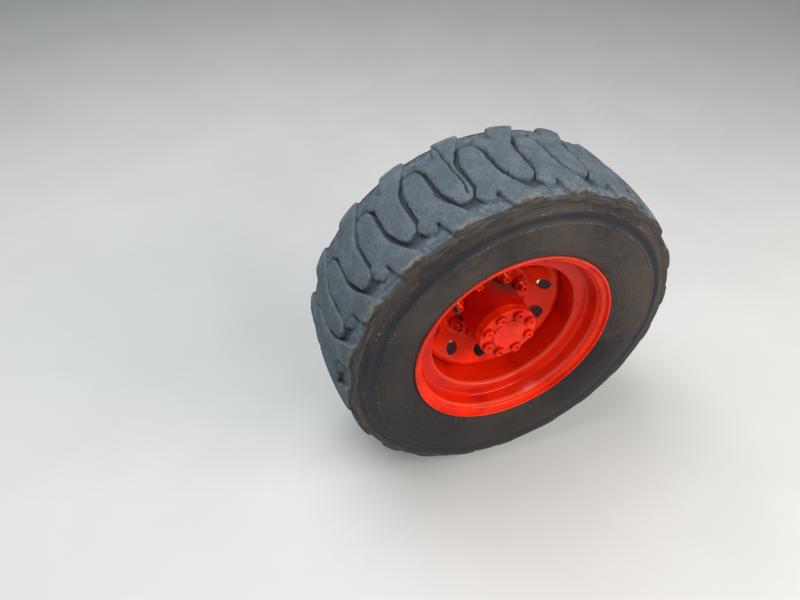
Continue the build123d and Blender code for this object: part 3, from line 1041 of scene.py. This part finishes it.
def carcass_material():
    """Sidewall: brown-black rubber with pale patches painted stronger on one lit side, a blue-black
    hollow ring, rub lines, specks and a crack.
    """
    material, tree = new_material("sidewall_rubber", Specular_IOR_Level=0.3)
    radius, turn = use(tree, axis_place)
    spot = object_place(tree)
    patches = noise(spot, 60.0, 5.0, 0.75) * 0.5 + noise(spot, 5.0, 3.0, 0.5)
    # Painted light: the pale patches are stronger towards one side of the wheel, where light falls.
    lit_side = ramp(number("COSINE", turn - lit_side_turn), -0.7, 0.7, 0.35, 1.0)
    patches = ramp(patches, 0.60, 0.92) * lit_side
    band = ramp(radius, *band_inner_ends) * ramp(radius, *band_outer_ends, 1.0, 0.0)
    band = band * ramp(noise(spot, 7.0), 0.3, 0.6, 0.65, 1.0)
    pale = use(tree, specks, Scale=210.0, Size=0.22, Share=0.16)
    pale = pale * ramp(noise(spot, 16.0), 0.42, 0.6) * 0.5
    rubbed = number("MINIMUM", *(abs(radius - line) for line in rub_lines))
    rubbed = ramp(rubbed, *rub_fade_ends, 1.0, 0.0)
    rubbed = rubbed * use(tree, specks, Scale=330.0, Size=0.5, Share=0.5)
    rubbed = rubbed * ramp(noise(spot, 24.0, 4.0), 0.46, 0.6) * 0.6
    crack = (noise(spot, 30.0) - 0.5) * crack_wander + (turn - crack_turn)
    crack = ramp(abs(crack), *crack_fade_ends, 1.0, 0.0)
    crack = crack * ramp(radius, *crack_inner_ends) * ramp(radius, *crack_outer_ends, 1.0, 0.0)
    colour = layered(
        wall_brown,
        (patches, wall_pale),
        (band, wall_blue),
        (pale, speck_pale),
        (rubbed, speck_pale),
        (crack * 0.9, seal_black),
    )
    height = use(tree, grain, Fine_Scale=600.0, Coarse_Scale=70.0, Fine_Share=0.3) - crack * 1.2
    return finished(
        material,
        Base_Color=colour,
        Roughness=patches * 0.14 + 0.56,
        Normal=bump(height, 1.0 * mm, 0.6),
    )


def steel_material():
    """Turned steel with fine rings, oily grime and light rust in patches."""
    material, tree = new_material("spindle_steel", Anisotropic=0.4)
    radius, _ = use(tree, axis_place)
    grimy = use(tree, dust, Scale=18.0, Cover=0.55, Softness=0.35, Upward=0.0)
    rings = number("SINE", radius * lathe_marks) * 0.25
    height = rings + use(tree, grain, Fine_Scale=800.0, Coarse_Scale=80.0, Fine_Share=0.3)
    return finished(
        material,
        Base_Color=mixed(grimy, steel_grey, steel_brown),
        Metallic=grimy * -0.7 + 1.0,
        Roughness=grimy * 0.35 + 0.3,
        Normal=bump(height, 0.15 * mm, 0.6),
    )


def seal_material():
    """Matt black rubber with dust in patches."""
    material, tree = new_material("seal_rubber", Specular_IOR_Level=0.35)
    dusty = use(tree, dust, Scale=40.0, Cover=0.45, Softness=0.3, Upward=0.1) * 0.4
    height = use(tree, grain, Fine_Scale=900.0, Coarse_Scale=200.0, Fine_Share=0.4)
    return finished(
        material,
        Base_Color=mixed(dusty, seal_black, rubber_worn),
        Roughness=dusty * 0.4 + 0.55,
        Normal=bump(height, 0.2 * mm, 0.6),
    )


def floor_material():
    """Pale plain floor."""
    material, tree = new_material("studio_floor", Roughness=0.8)
    shade = ramp(noise(object_place(tree), 3.0), 0.3, 0.7)
    return finished(material, Base_Color=mixed(shade, floor_pale, floor_shade))


paint = paint_material()
tread_rubber = tread_material()
sidewall_rubber = carcass_material()
steel = steel_material()
seal_rubber = seal_material()


def place_piece(piece, *nodes, body="wheel", slot="wheel_paint", material=paint):
    """Gives a finished piece its material if it has none and its body, and hides the imported nodes
    that it replaces; slot is not used.
    """
    if not piece.data.materials:
        piece.data.materials.append(material)
    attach(piece, body)
    if nodes:
        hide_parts(*nodes)


def place_fixings(piece, circle, *nodes, first_turn=fixing_turn):
    """Copies a painted fixing to its places on a circle, and places the ring of them."""
    ring(piece, fixing_count, first_turn, circle, paint)
    place_piece(piece, *nodes)


# Rim and disc

def make_rim():
    """One-piece rim: the side that the tyre sits on, from outboard to inboard, as a bent sheet."""
    seat_front = mouth + flange_curl
    seat_rear = rim_back - flange_curl
    wall = mouth + well_wall_depth + rim_sheet
    well = well_radius + rim_sheet
    well_end = mouth + well_end_depth
    slope_end = well_end + well_slope_run
    rim = bent_sheet("rim", [
        (flange_radius, mouth),
        (flange_radius, seat_front),
        (seat_radius, seat_front),
        (seat_radius - seat_fall * (wall - seat_front), wall),
        (well, wall),
        (well, well_end),
        (seat_radius - seat_fall * (seat_rear - slope_end), slope_end),
        (seat_radius, seat_rear),
        (flange_radius, seat_rear),
        (flange_radius, rim_back),
    ], rim_bends, rim_sheet, lip_nose)
    place_piece(rim, "wheel_rim")


def make_disc():
    """Dished disc: flat pad, cone with hand holes, and the rolled edge in the rim's well."""
    corner = pad_front - disc_cone_fall * (well_radius - pad_radius)
    disc = bent_sheet("disc", [
        (bore_radius, pad_front),
        (pad_radius, pad_front),
        (well_radius, corner),
        (well_radius, corner + disc_skirt + 2 * crest_bend),
    ], [pad_bend, crest_bend], disc_sheet, disc_nose)
    hole_y = pad_front - disc_cone_fall * (hand_hole_place - pad_radius)
    drill = drill_bit(hand_hole_radius, -drill_reach, drill_reach)
    drill.data.transform(Matrix.Translation((0, hole_y, 0)) @ Matrix.Rotation(-disc_cone, 4, "Z"))
    ring(drill, hand_hole_count, hand_hole_turn, hand_hole_place, paint)
    cut(disc, drill)
    place_piece(disc, "wheel_disc")


# Hub, fixings and drive flange: lathed outlines give each corner's round in millimetres

def make_hub():
    """Hub: barrel with its wheel flange, hollow for the journals, all edges eased."""
    inner_end = seal_front - inner_journal_length
    outer_end = spindle_nose + outer_journal_length
    flange_front = pad_front + disc_sheet
    flange_back = flange_front + hub_flange_thickness
    pilot_front = pad_front - pilot_height
    hub = lathed("hub_body", [
        (outer_journal_radius + running_gap, hub_front, 0.5),
        (barrel_radius, hub_front, 1.5),
        (barrel_radius, pilot_front, 0.8),
        (pilot_radius, pilot_front, 0.8),
        (pilot_radius, flange_front, 0.5),
        (hub_flange_radius, flange_front, 1.5),
        (hub_flange_radius, flange_back, 1.5),
        (hub_root_radius, flange_back, 3),
        (hub_rear_radius, hub_back, 2),
        (seal_radius, hub_back, 0.5),
        (seal_radius, seal_front, 0.5),
        (inner_journal_radius + running_gap, seal_front, 0.5),
        (inner_journal_radius + running_gap, inner_end, 0.5),
        (hub_cavity_radius, inner_end, 2),
        (hub_cavity_radius, outer_end, 2),
        (outer_journal_radius + running_gap, outer_end, 0.5),
    ])
    place_piece(hub, "hub")


def make_drive_flange():
    """Flange on the hub's end: raised boss, shallowly dished, and the shaft behind it."""
    flange_front = boss_front + boss_height
    dip_end, dish_start = centre_dip_ends
    dish_end, rim_start = (boss_radius - inset for inset in boss_rim_ends)
    flange = lathed("drive_flange_body", [
        (0, boss_front + centre_dip, 0),
        (dip_end, boss_front + centre_dip, 1),
        (dish_start, boss_front + boss_dish, 1),
        (dish_end, boss_front + boss_dish, 0.6),
        (rim_start, boss_front, 0.6),
        (boss_radius, boss_front, 1.6),
        (boss_radius + boss_flare, flange_front, 1.2),
        (drive_radius, flange_front, 2),
        (drive_radius, hub_front, 0.5),
        (shaft_radius, hub_front, 2),
        (shaft_radius, shaft_end, 1.5),
        (0, shaft_end, 0),
    ])
    place_piece(flange, "drive_flange")


def make_bolts_and_nuts():
    """Bolts that hold the drive flange, their heads dished, and wheel nuts with open threads."""
    bolt = hexagon_head(
        "drive_bolts", bolt_flats, bolt_front, bolt_front + bolt_head,
        bolt_crown, bolt_dish_radius, bolt_dish_depth,
    )
    place_fixings(bolt, bolt_place, "drive_flange_bolts")
    nut = hexagon_head(
        "nuts", nut_flats, nut_front, pad_front, nut_crown, nut_hole_radius, nut_hole_depth,
    )
    place_fixings(nut, stud_place, "wheel_nuts")


def make_seats():
    """Ridge pressed in the pad round each nut, and the small beads round the hub's pilot."""
    sunk = pad_front + relief_sink
    half = seat_ridge_width / 2
    ridge = [(seat_ridge_radius + half, sunk)]
    for k in range(ridge_steps + 1):
        angle = k * math.pi / ridge_steps
        ridge.append((seat_ridge_radius + half * math.cos(angle), pad_front - half * math.sin(angle)))
    ridge.append((seat_ridge_radius - half, sunk))
    ridges = revolved("nut_seats", ridge, small_segments)
    place_fixings(ridges, stud_place)
    dome = [(0, pad_front - bead_height)]
    for k in range(1, dome_steps + 1):
        angle = k * math.pi / (2 * dome_steps)
        dome.append((bead_radius * math.sin(angle), pad_front - bead_height * math.cos(angle)))
    beads = revolved("pilot_beads", [*dome, (bead_radius, sunk), (0, sunk)], bead_segments)
    beads.data.transform(Matrix.Rotation(-bead_spread, 4, "Y") @ Matrix.Translation((bead_place, 0, 0)))
    group = bmesh.new()
    for _ in range(beads_between_nuts):
        group.from_mesh(beads.data)
        beads.data.transform(Matrix.Rotation(bead_spread, 4, "Y"))
    group.to_mesh(beads.data)
    group.free()
    place_fixings(beads, 0.0, first_turn=fixing_turn + full_turn / fixing_count / 2)


def make_studs():
    """Wheel studs: thread outside the nut, plain shank, round head behind the hub's flange."""
    head_front = stud_back - stud_head_thickness
    outline = [
        (0, stud_tip + stud_recess),
        (stud_recess_radius, stud_tip + stud_recess),
        (stud_recess_radius, stud_tip + stud_recess_ease),
        (stud_recess_radius + stud_recess_ease, stud_tip),
        (stud_radius - stud_tip_ease, stud_tip),
    ]
    y = stud_tip + thread_start
    while y < nut_front + thread_under_nut:
        outline += [
            (stud_radius, y),
            (stud_radius, y + thread_crest_end),
            (stud_radius - thread_depth, y + thread_root),
        ]
        y += thread_pitch
    outline += [
        (stud_radius, y),
        (stud_radius, head_front),
        (stud_head_radius, head_front),
        (stud_head_radius, stud_back - stud_head_ease),
        (stud_head_radius - stud_head_ease, stud_back),
        (0, stud_back),
    ]
    place_fixings(revolved("studs", outline, small_segments), stud_place, "wheel_studs")


def make_spindle():
    """Fixed spindle: bolting flange with its holes, collar, two journals and a bore."""
    flange_front = spindle_face - spindle_flange_thickness
    step_y = seal_front + collar_past_seal
    spindle = lathed("spindle_body", [
        (spindle_bore, spindle_face, 1),
        (spindle_radius, spindle_face, 1.2),
        (spindle_radius, flange_front, 1.2),
        (collar_radius, flange_front, 8),
        (collar_radius, step_y, 1),
        (inner_journal_radius, step_y, 1),
        (inner_journal_radius, seal_front - inner_journal_length, 1),
        (outer_journal_radius, spindle_nose + outer_journal_length, 2),
        (outer_journal_radius, spindle_nose, 1.5),
        (spindle_bore, spindle_nose, 1),
    ])
    drill = drill_bit(
        spindle_hole_radius, flange_front - drill_margin, spindle_face + drill_margin,
    )
    ring(drill, spindle_hole_count, spindle_hole_turn, spindle_hole_place, steel)
    cut(spindle, drill)
    place_piece(spindle, "spindle", body="axle_end", slot="spindle_steel", material=steel)


def make_seal():
    """Seal ring in the hub's inboard end, with a raised lip."""
    lip = collar_radius + running_gap
    seal = lathed("seal_ring", [
        (lip, seal_front, 0.3),
        (seal_radius, seal_front, 0.3),
        (seal_radius, seal_back, 0.8),
        (seal_radius - seal_rim_width, seal_back, 0.4),
        (lip + seal_lip_width, seal_back - seal_lip_rise, 0.4),
        (lip, seal_back, 0.4),
    ])
    place_piece(seal, "hub_seal", slot="seal_rubber", material=seal_rubber)


def make_valve():
    """Tyre valve: moulded button and stem with a round cap, its bulb behind the rim's wall."""
    wall_front = mouth + well_wall_depth
    wall_back = wall_front + rim_sheet
    cap_start, cap_end = (valve_front + depth for depth in valve_cap_ends)
    neck_start, neck_end = (valve_front + depth for depth in valve_neck_ends)
    valve = lathed("valve", [
        (0, valve_front, 0),
        (valve_tip_radius, valve_front, 0.6),
        (valve_cap_radius, cap_start, 0.4),
        (valve_cap_radius, cap_end, 0.4),
        (valve_neck_radius, neck_start, 0.2),
        (valve_neck_radius, neck_end, 0.2),
        (valve_stem_tip_radius, valve_front + valve_stem_start, 0.6),
        (valve_stem_radius, wall_front - valve_stem_foot, 0.6),
        (valve_button_radius, wall_front - valve_button_height, 0.6),
        (valve_button_radius, wall_front, 0.2),
        (valve_stem_radius, wall_front, 0.2),
        (valve_stem_radius, wall_back, 0.2),
        (valve_bulb_radius, wall_back, 0.2),
        (valve_stem_radius, valve_back, 1.2),
        (0, valve_back, 0),
    ], small_segments)
    ring(valve, 1, valve_turn, valve_place, seal_rubber)
    place_piece(valve, "tyre_valve", slot="seal_rubber", material=seal_rubber)


# Tyre: the tread is planned flat, in millimetres: across from the middle plane, along the run

def crown_points(across):
    """Tread surface at lengths across, flank included: radius, place across, and normal."""
    drop = np.where(across < 0, crown_drop, inboard_crown_drop)
    crown_bow = (crown_edge ** 2 + drop ** 2) / (2 * drop)
    first_lean = np.arcsin((half_tread - shoulder_round) / (crown_bow - shoulder_round))
    start = crown_bow * np.sin(first_lean)
    length = np.abs(across)
    past = length - start
    lean = np.where(
        past <= 0,
        np.arcsin(np.minimum(length, start) / crown_bow),
        np.minimum(first_lean + past / shoulder_round, math.pi / 2),
    )
    bow = np.where(past <= 0, crown_bow, shoulder_round)
    centre_radius = tyre_radius - crown_bow + (crown_bow - bow) * np.cos(first_lean)
    centre_across = (crown_bow - bow) * np.sin(first_lean)
    turned = shoulder_round * (math.pi / 2 - first_lean)
    shoulder_radius = tyre_radius - crown_bow + (crown_bow - shoulder_round) * np.cos(first_lean)
    flank = tread_reach * mm - start - turned
    stretch = (shoulder_radius - skirt_radius) / flank
    straight = np.maximum(0, past - turned) * stretch
    side = np.where(across < 0, -1, 1)
    radius = centre_radius + bow * np.cos(lean) - straight
    return radius, side * (centre_across + bow * np.sin(lean)), np.cos(lean), side * np.sin(lean)


def bar_outline():
    """Corners of one outboard bar, across and along, with the radius that rounds each."""
    return [
        (51, -26.5, 3), (64, -19.5, 3), (68.5, -4, 5), (65, 10, 4.5), (20, 25, 30), (-48, 25.5, 5),
        (-69, 37.5, 6), (-91, 24, 5), (-94, 10, 4), (-89, 3.6, 2), (-75, 2.2, 1.4), (-75, -2.8, 1.4),
        (-99, -6.5, 5), (-112, -13, 7), (-170, -16, 4), (-170, -72, 4), (-112, -70, 14),
        (-42, -29.5, 18), (-16, -25, 8),
    ]


# The low block on a bar's side, and the lines pressed or torn into bars: across and along
side_block = [(-77, -2), (-71, 14), (-67, 40), (-108, 40), (-108, -2)]
block_crease = [(-77, 0), (-71, 14), (-68, 36)]
foot_tear = [
    (52, -14), (39, -16.5), (24, -19.5), (7, -19), (-12, -17), (-34, -18.5),
    (-52, -17), (-72, -20), (-92, -18), (-113, -14),
]


def line_distance(points, line):
    """Distance of each point from a line of points."""
    best = np.full(len(points), far_off)
    for start, end in zip(line[:-1], line[1:]):
        run = end - start
        share = np.clip(((points - start) @ run) / (run @ run), 0, 1)
        near = start + share[:, None] * run
        best = np.minimum(best, np.linalg.norm(points - near, axis=1))
    return best


def evenly(points, spacing, closed=False):
    """The same line with its points spaced evenly."""
    line = np.array([tuple(point) for point in points], float)
    if closed:
        line = np.vstack([line, line[:1]])
    lengths = np.concatenate([[0], np.cumsum(np.linalg.norm(np.diff(line, axis=0), axis=1))])
    count = max(2, round(lengths[-1] / spacing))
    places = np.linspace(0, lengths[-1], count + 1)
    if closed:
        places = places[:-1]
    return np.stack([np.interp(places, lengths, line[:, k]) for k in (0, 1)], axis=1)


def inside(points, loop):
    """Which points lie inside a closed loop."""
    result = np.zeros(len(points), bool)
    for (ax, ay), (bx, by) in zip(loop, np.roll(loop, -1, axis=0)):
        crosses = (ay > points[:, 1]) != (by > points[:, 1])
        with np.errstate(divide="ignore", invalid="ignore"):
            x = ax + (points[:, 1] - ay) / (by - ay) * (bx - ax)
        result ^= crosses & (points[:, 0] < x)
    return result


def edge_gap(points, loops):
    """Distance of each point from the nearest bar's edge, below zero outside the bars."""
    gap = np.full(len(points), far_off)
    within = np.zeros(len(points), bool)
    for loop in loops:
        gap = np.minimum(gap, line_distance(points, np.vstack([loop, loop[:1]])))
        within |= inside(points, loop)
    return np.where(within, gap, -gap)


def step_up(value, start, end):
    """Smooth step of an array: 0 up to start, 1 from end on."""
    share = np.clip((value - start) / (end - start), 0, 1)
    return share * share * (3 - 2 * share)


def thinned(groups, first, period):
    """The groups' points in turn, without those that crowd one kept before, for an endless run."""
    cells = round(period / crowd_cell)
    size = period / cells
    kept = {}
    for points, room in groups:
        for a, s in points:
            s = (s - first) % period + first
            column, row = math.floor(a / size), math.floor((s - first) / size) % cells
            crowd = (
                spot
                for i in (-1, 0, 1) for j in (-1, 0, 1)
                for spot in kept.get((column + i, (row + j) % cells), ())
            )
            if all(
                math.hypot(a - x, (s - y + period / 2) % period - period / 2) >= room
                for x, y in crowd
            ):
                kept.setdefault((column, row), []).append((a, s))
    return np.array([spot for spots in kept.values() for spot in spots])


def plan_points(loops, bars, rails, first, period):
    """Points of one pitch: rings that follow the bars' edges, then lines, then an even fill."""
    rings = []
    for offset in ring_offsets:
        for bar in bars:
            ring_line = bar + left_of(directions(bar, closed=True)[1]) * offset
            ring_line = ring_line[np.abs(ring_line[:, 0]) < tread_reach - ring_trim]
            ring_line = ring_line[np.abs(edge_gap(ring_line, loops) - offset) < ring_tolerance]
            rings.append((ring_line, ring_room))
    count = round(period / border_spacing)
    run = first + period * np.arange(count) / count
    borders = [(np.stack([np.full(count, a), run], axis=1), 0) for a in (-tread_reach, tread_reach)]
    columns = round(period / fill_spacing)
    rows = round(2 * tread_reach / (period / columns * math.sqrt(0.75)))
    fill = np.array([
        ((2 * row / rows - 1) * tread_reach, first + period * (column + 0.5 * (row % 2)) / columns)
        for row in range(1, rows) for column in range(columns)
    ])
    lines = [(rail, ring_room) for rail in rails]
    return thinned(borders + rings + lines + [(fill, fill_room)], first, period)


def worn_drop(plan, gap, creases, blocks):
    """How far each point of the plan lies under the new tread, in millimetres, and its bar share."""
    reach_across = np.abs(plan[:, 0])
    floor = lug_depth / mm * (1 - floor_rise * step_up(reach_across, *floor_rise_ends))
    fade_start = np.where(plan[:, 0] < 0, outboard_fade, inboard_fade)
    floor *= 1 - step_up(reach_across, fade_start, fade_start + fade_width)
    top = step_up(gap, *bar_side_ends)
    soft = sum(deep * np.exp(-np.maximum(gap, 0) / wide) for deep, wide in edge_wear)
    on_block = step_up(edge_gap(plan, blocks), *block_side_ends)
    soft = soft + on_block * (block_drop + block_fall * step_up(reach_across, *block_fall_ends))
    for crease in creases:
        soft = soft + crease_depth * step_up(-line_distance(plan, crease), -crease_half_width, 0)
    drop = floor + (np.minimum(floor, soft) - floor) * top
    drop += even_wear + skirt_dip * step_up(reach_across, tread_reach - skirt_width, tread_reach)
    return drop, top


def sole_points(drop, first, period, count):
    """Underside of one pitch: rows of points across it, deeper than the grooves but at its ends."""
    sole = []
    for a in sole_places:
        low = drop if abs(a) == tread_reach else sole_depth
        r, y, nr, ny = (float(v) for v in crown_points(np.array(a * mm)))
        r -= nr * low * mm
        for k in range(count + 1):
            angle = (first + period * k / count) * mm / tyre_radius
            sole.append((r * math.cos(angle), middle + y - ny * low * mm, r * math.sin(angle)))
    return sole


def make_tread():
    """Worn tread: one pitch planned flat, laid on the crown and the shoulders, and copied round."""
    period = full_turn * tyre_radius / mm / bars_per_side
    first = plan_shift - period / 2
    corners = bar_outline()
    outboard = rounded([c[:2] for c in corners], [c[2] for c in corners], closed=True)
    outboard = evenly(outboard, ring_spacing, closed=True)
    if not inside(outboard[:1] + left_of(directions(outboard, closed=True)[1][:1]), outboard)[0]:
        outboard = outboard[::-1]
    mirrored = [-1, 1]
    to_inboard = np.array([0, period / 2])
    shifts = [np.array([0, shift * period]) for shift in (-1, 0, 1)]
    inboard = (outboard * mirrored + to_inboard)[::-1]
    loops = [bar + shift for bar in (outboard, inboard) for shift in shifts]
    tear = evenly(foot_tear, line_spacing) * mirrored + to_inboard
    sideways = left_of(directions(tear)[1])
    crease = evenly(block_crease, line_spacing)
    creases = [crease, crease * mirrored + to_inboard]
    block = np.array(side_block, float)
    blocks = [side + shift for side in (block, block * mirrored + to_inboard) for shift in shifts]
    rails = [tear + sideways * offset for offset in (-tear_half_width, 0, tear_half_width)]
    rails = [rail[edge_gap(rail, loops) > rail_inset] for rail in rails]
    plan = plan_points(loops, [outboard, inboard], rails + creases, first, period)
    low = plan[plan[:, 1] < first + plan_margin] + [0, period]
    high = plan[plan[:, 1] > first + period - plan_margin] - [0, period]
    plan = np.vstack([plan, low, high])
    cells = delaunay_2d_cdt([Vector(p) for p in plan], [], [], 0, plan_merge)
    plan = np.array([tuple(v) for v in cells[0]])
    faces = [
        face for face in cells[2]
        if 0 <= sum(plan[v][1] for v in face) / 3 - first + seam_nudge < period
    ]
    gap = edge_gap(plan, loops)
    drop, top = worn_drop(plan, gap, creases, blocks)
    away = np.clip(1 - line_distance(plan, tear) / tear_half_width, 0, 1)
    torn = tear_depth * away ** tear_flare * np.clip(gap / tear_end_fade, 0, 1)
    reach_across = np.abs(plan[:, 0])
    edge = np.exp(-np.abs(gap) / edge_reach)
    brink = top * np.exp(-np.abs(reach_across - brink_line / mm) / edge_reach)
    radius, across, normal_radius, normal_across = crown_points(plan[:, 0] * mm)
    turn = plan[:, 1] * mm / tyre_radius
    radius -= normal_radius * drop * mm
    across -= normal_across * drop * mm
    verts = list(zip(radius * np.cos(turn), middle + across, radius * np.sin(turn)))
    count = round(period / border_spacing)
    sole = sole_points(drop[np.argmax(reach_across)], first, period, count)
    for row in range(len(sole_places) - 1):
        for k in range(count):
            this = len(verts) + row * (count + 1) + k
            ahead = this + count + 1
            faces.append((this, this + 1, ahead + 1, ahead))
    mesh = bpy.data.meshes.new("tread")
    mesh.from_pydata(verts + sole, [], faces)
    for name, value in {
        "depth": drop * mm / lug_depth, "edge": np.maximum(edge, brink), "top": top,
        "reach": reach_across * mm, "torn": torn * mm,
    }.items():
        layer = mesh.attributes.new(name, "FLOAT", "POINT")
        layer.data.foreach_set("value", np.pad(value, (0, len(sole))).astype(np.float32))
    mesh.shade_smooth()
    tread = shown("tread", mesh)
    made_by(tread, row_of_pitches, {
        "Count": bars_per_side, "First Turn": bar_turn, "Torn Place": 0, "Material": tread_rubber,
    })
    place_piece(tread, "tyre", slot="tyre_rubber", material=tread_rubber)


# Ribs and hollows round the sidewall: radius, half width and height in millimetres
sidewall_rings = [
    (236, 1.6, 0.9), (242, 1.4, 0.8), (249, 1.5, 0.8), (256, 2.0, 0.5),
    (306.5, 2.2, 1.4), (317, 9.0, -2.6), (329, 1.8, 1.0), (333.5, 1.4, 0.7),
]


def sidewall_relief(radius):
    """Height of the sidewall's ribs and hollows at a radius."""
    height = 0.0
    for place, half_width, rise in sidewall_rings:
        share = min(1.0, abs(radius - place * mm) / (half_width * mm))
        height += rise * mm * (0.5 + 0.5 * math.cos(math.pi * share))
    return height


def both_halves(half):
    """Outline of (radius, y) points from a half that ends on the middle plane, and its mirror."""
    outboard = [(radius, middle - y) for radius, y in half]
    return outboard + [(radius, middle + y) for radius, y in half[-2::-1]]


def make_carcass():
    """Tyre without its bars: groove floors, shoulders, ribbed sidewalls and beads, hollow inside."""
    seat = half_between_flanges
    flange_bend, heel = rim_bends[:2]
    flange_reach = flange_bend + bead_clearance
    bend_centre = flange_radius - flange_bend
    bend_end = (bend_centre + flange_reach, seat + flange_bend)
    bend_start = (bend_centre, seat - bead_clearance)
    slant = flange_reach * math.sqrt(0.5)
    bend_via = (bend_centre + slant, seat + flange_bend - slant)
    widest = (widest_radius, half_section - arc_swell)
    wall = arc_through(bend_end, widest, (sidewall_top_radius, half_tread), sidewall_steps)
    points, along = directions(wall)
    outward = left_of(along)
    if outward[len(wall) // 2][1] < 0:
        outward = -outward
    wall = [p + n * sidewall_relief(p[0]) for p, n in zip(points, outward)]
    shelf = sidewall_top_radius + shelf_rise
    half = [
        (seat_radius - seat_fall * bead_width + bead_clearance, seat - bead_width),
        (seat_radius - seat_fall * heel + bead_clearance, seat - heel - bead_clearance),
        (seat_radius + heel + bead_clearance, seat - bead_clearance),
        *arc_through(bend_start, bend_via, bend_end, bend_steps),
        *wall[1:],
        (shelf - shelf_corner_drop, half_tread + shelf_corner_swell),
        (shelf, half_tread - shelf_edge_inset),
        (shelf, half_tread - shelf_width),
    ]
    floor_half = half_tread - shoulder_round
    for k in range(1, floor_steps + 1):
        share = 1 - k / floor_steps
        floor = tyre_radius - lug_depth - floor_cover - crown_drop * share * share
        half.append((floor, floor_half * share))
    liner = tyre_radius - lug_depth - under_tread
    inner_edge = (liner - crown_drop - liner_shoulder_drop, floor_half - wall_thickness)
    inside_half = [
        *arc_through((flange_radius, seat - wall_thickness),
                     (widest_radius, half_section - wall_thickness), inner_edge, liner_steps),
        (liner, 0),
    ]
    outline = both_halves(half) + both_halves(inside_half)[::-1]
    carcass = revolved("carcass", outline, wheel_segments, carcass_sharp)
    place_piece(carcass, "tyre", slot="tyre_rubber", material=sidewall_rubber)


for make_piece in (
    make_rim, make_disc, make_hub, make_drive_flange, make_bolts_and_nuts, make_seats, make_studs,
    make_spindle, make_seal, make_valve, make_carcass, make_tread,
):
    make_piece()


# Floor, lights and camera
floor_half_width = 9.0
sky_colour = (0.80, 0.87, 0.95, 1)
sky_strength = 0.30


def make_floor():
    """Pale floor under the tyre."""
    level = cad_low.z
    mesh = bpy.data.meshes.new("studio_floor")
    mesh.from_pydata([
        (x * floor_half_width, y * floor_half_width, level)
        for x, y in ((-1, -1), (1, -1), (1, 1), (-1, 1))
    ], [], [(0, 1, 2, 3)])
    mesh.materials.append(floor_material())
    shown("studio_floor", mesh)


def make_light(name, place, aim, size, power, colour, mirrored=True):
    """Soft rectangular light of a width and height, aimed at a point; gloss may mirror it or not."""
    light = bpy.data.lights.new(name, "AREA")
    light.shape = "RECTANGLE"
    light.size, light.size_y = size
    light.energy = power
    light.color = colour
    lamp = shown(name, light)
    lamp.location = place
    lamp.visible_glossy = mirrored
    lamp.rotation_euler = (Vector(aim) - Vector(place)).to_track_quat("-Z", "Y").to_euler()


def make_camera():
    """Camera where the photograph was taken from: above the wheel, to its left and outboard."""
    place = Vector((-0.5654, -1.0141, 0.9439))
    aim = Vector((-0.2611, -0.2600, 0.2014))
    roll = math.radians(2.27)
    ahead = (aim - place).normalized()
    level = ahead.cross(Vector((0, 0, 1))).normalized()
    upright = level.cross(ahead)
    right = level * math.cos(roll) + upright * math.sin(roll)
    up = upright * math.cos(roll) - level * math.sin(roll)
    camera = bpy.data.cameras.new("camera")
    camera.sensor_width = 36
    camera.lens = 28.67
    viewer = shown("camera", camera)
    viewer.matrix_world = Matrix((
        (right.x, up.x, -ahead.x, place.x),
        (right.y, up.y, -ahead.y, place.y),
        (right.z, up.z, -ahead.z, place.z),
        (0, 0, 0, 1),
    ))
    bpy.context.scene.camera = viewer


make_floor()
make_light("sky", (-0.9, 0.5, 2.7), (0, -0.1, 0), (2.2, 2.2), 84, (0.92, 0.96, 1.0))
make_light("key", (1.5, -2.3, 1.9), (0, -0.2, 0), (3.6, 0.5), 96, (1.0, 0.97, 0.93))
make_light("fill", (-2.2, -1.6, 1.0), (0, -0.1, 0), (1.8, 1.8), 10, (0.92, 0.96, 1.0))
make_light("bounce", (2.4, -1.7, 0.35), (0, -0.2, 0), (1.4, 0.9), 14, (1.0, 0.84, 0.64), False)
make_camera()
world = bpy.data.worlds.new("studio")
world.use_nodes = True
background = world.node_tree.nodes["Background"].inputs
background["Color"].default_value = sky_colour
background["Strength"].default_value = sky_strength
bpy.context.scene.world = world
bpy.context.scene.view_settings.view_transform = "Standard"
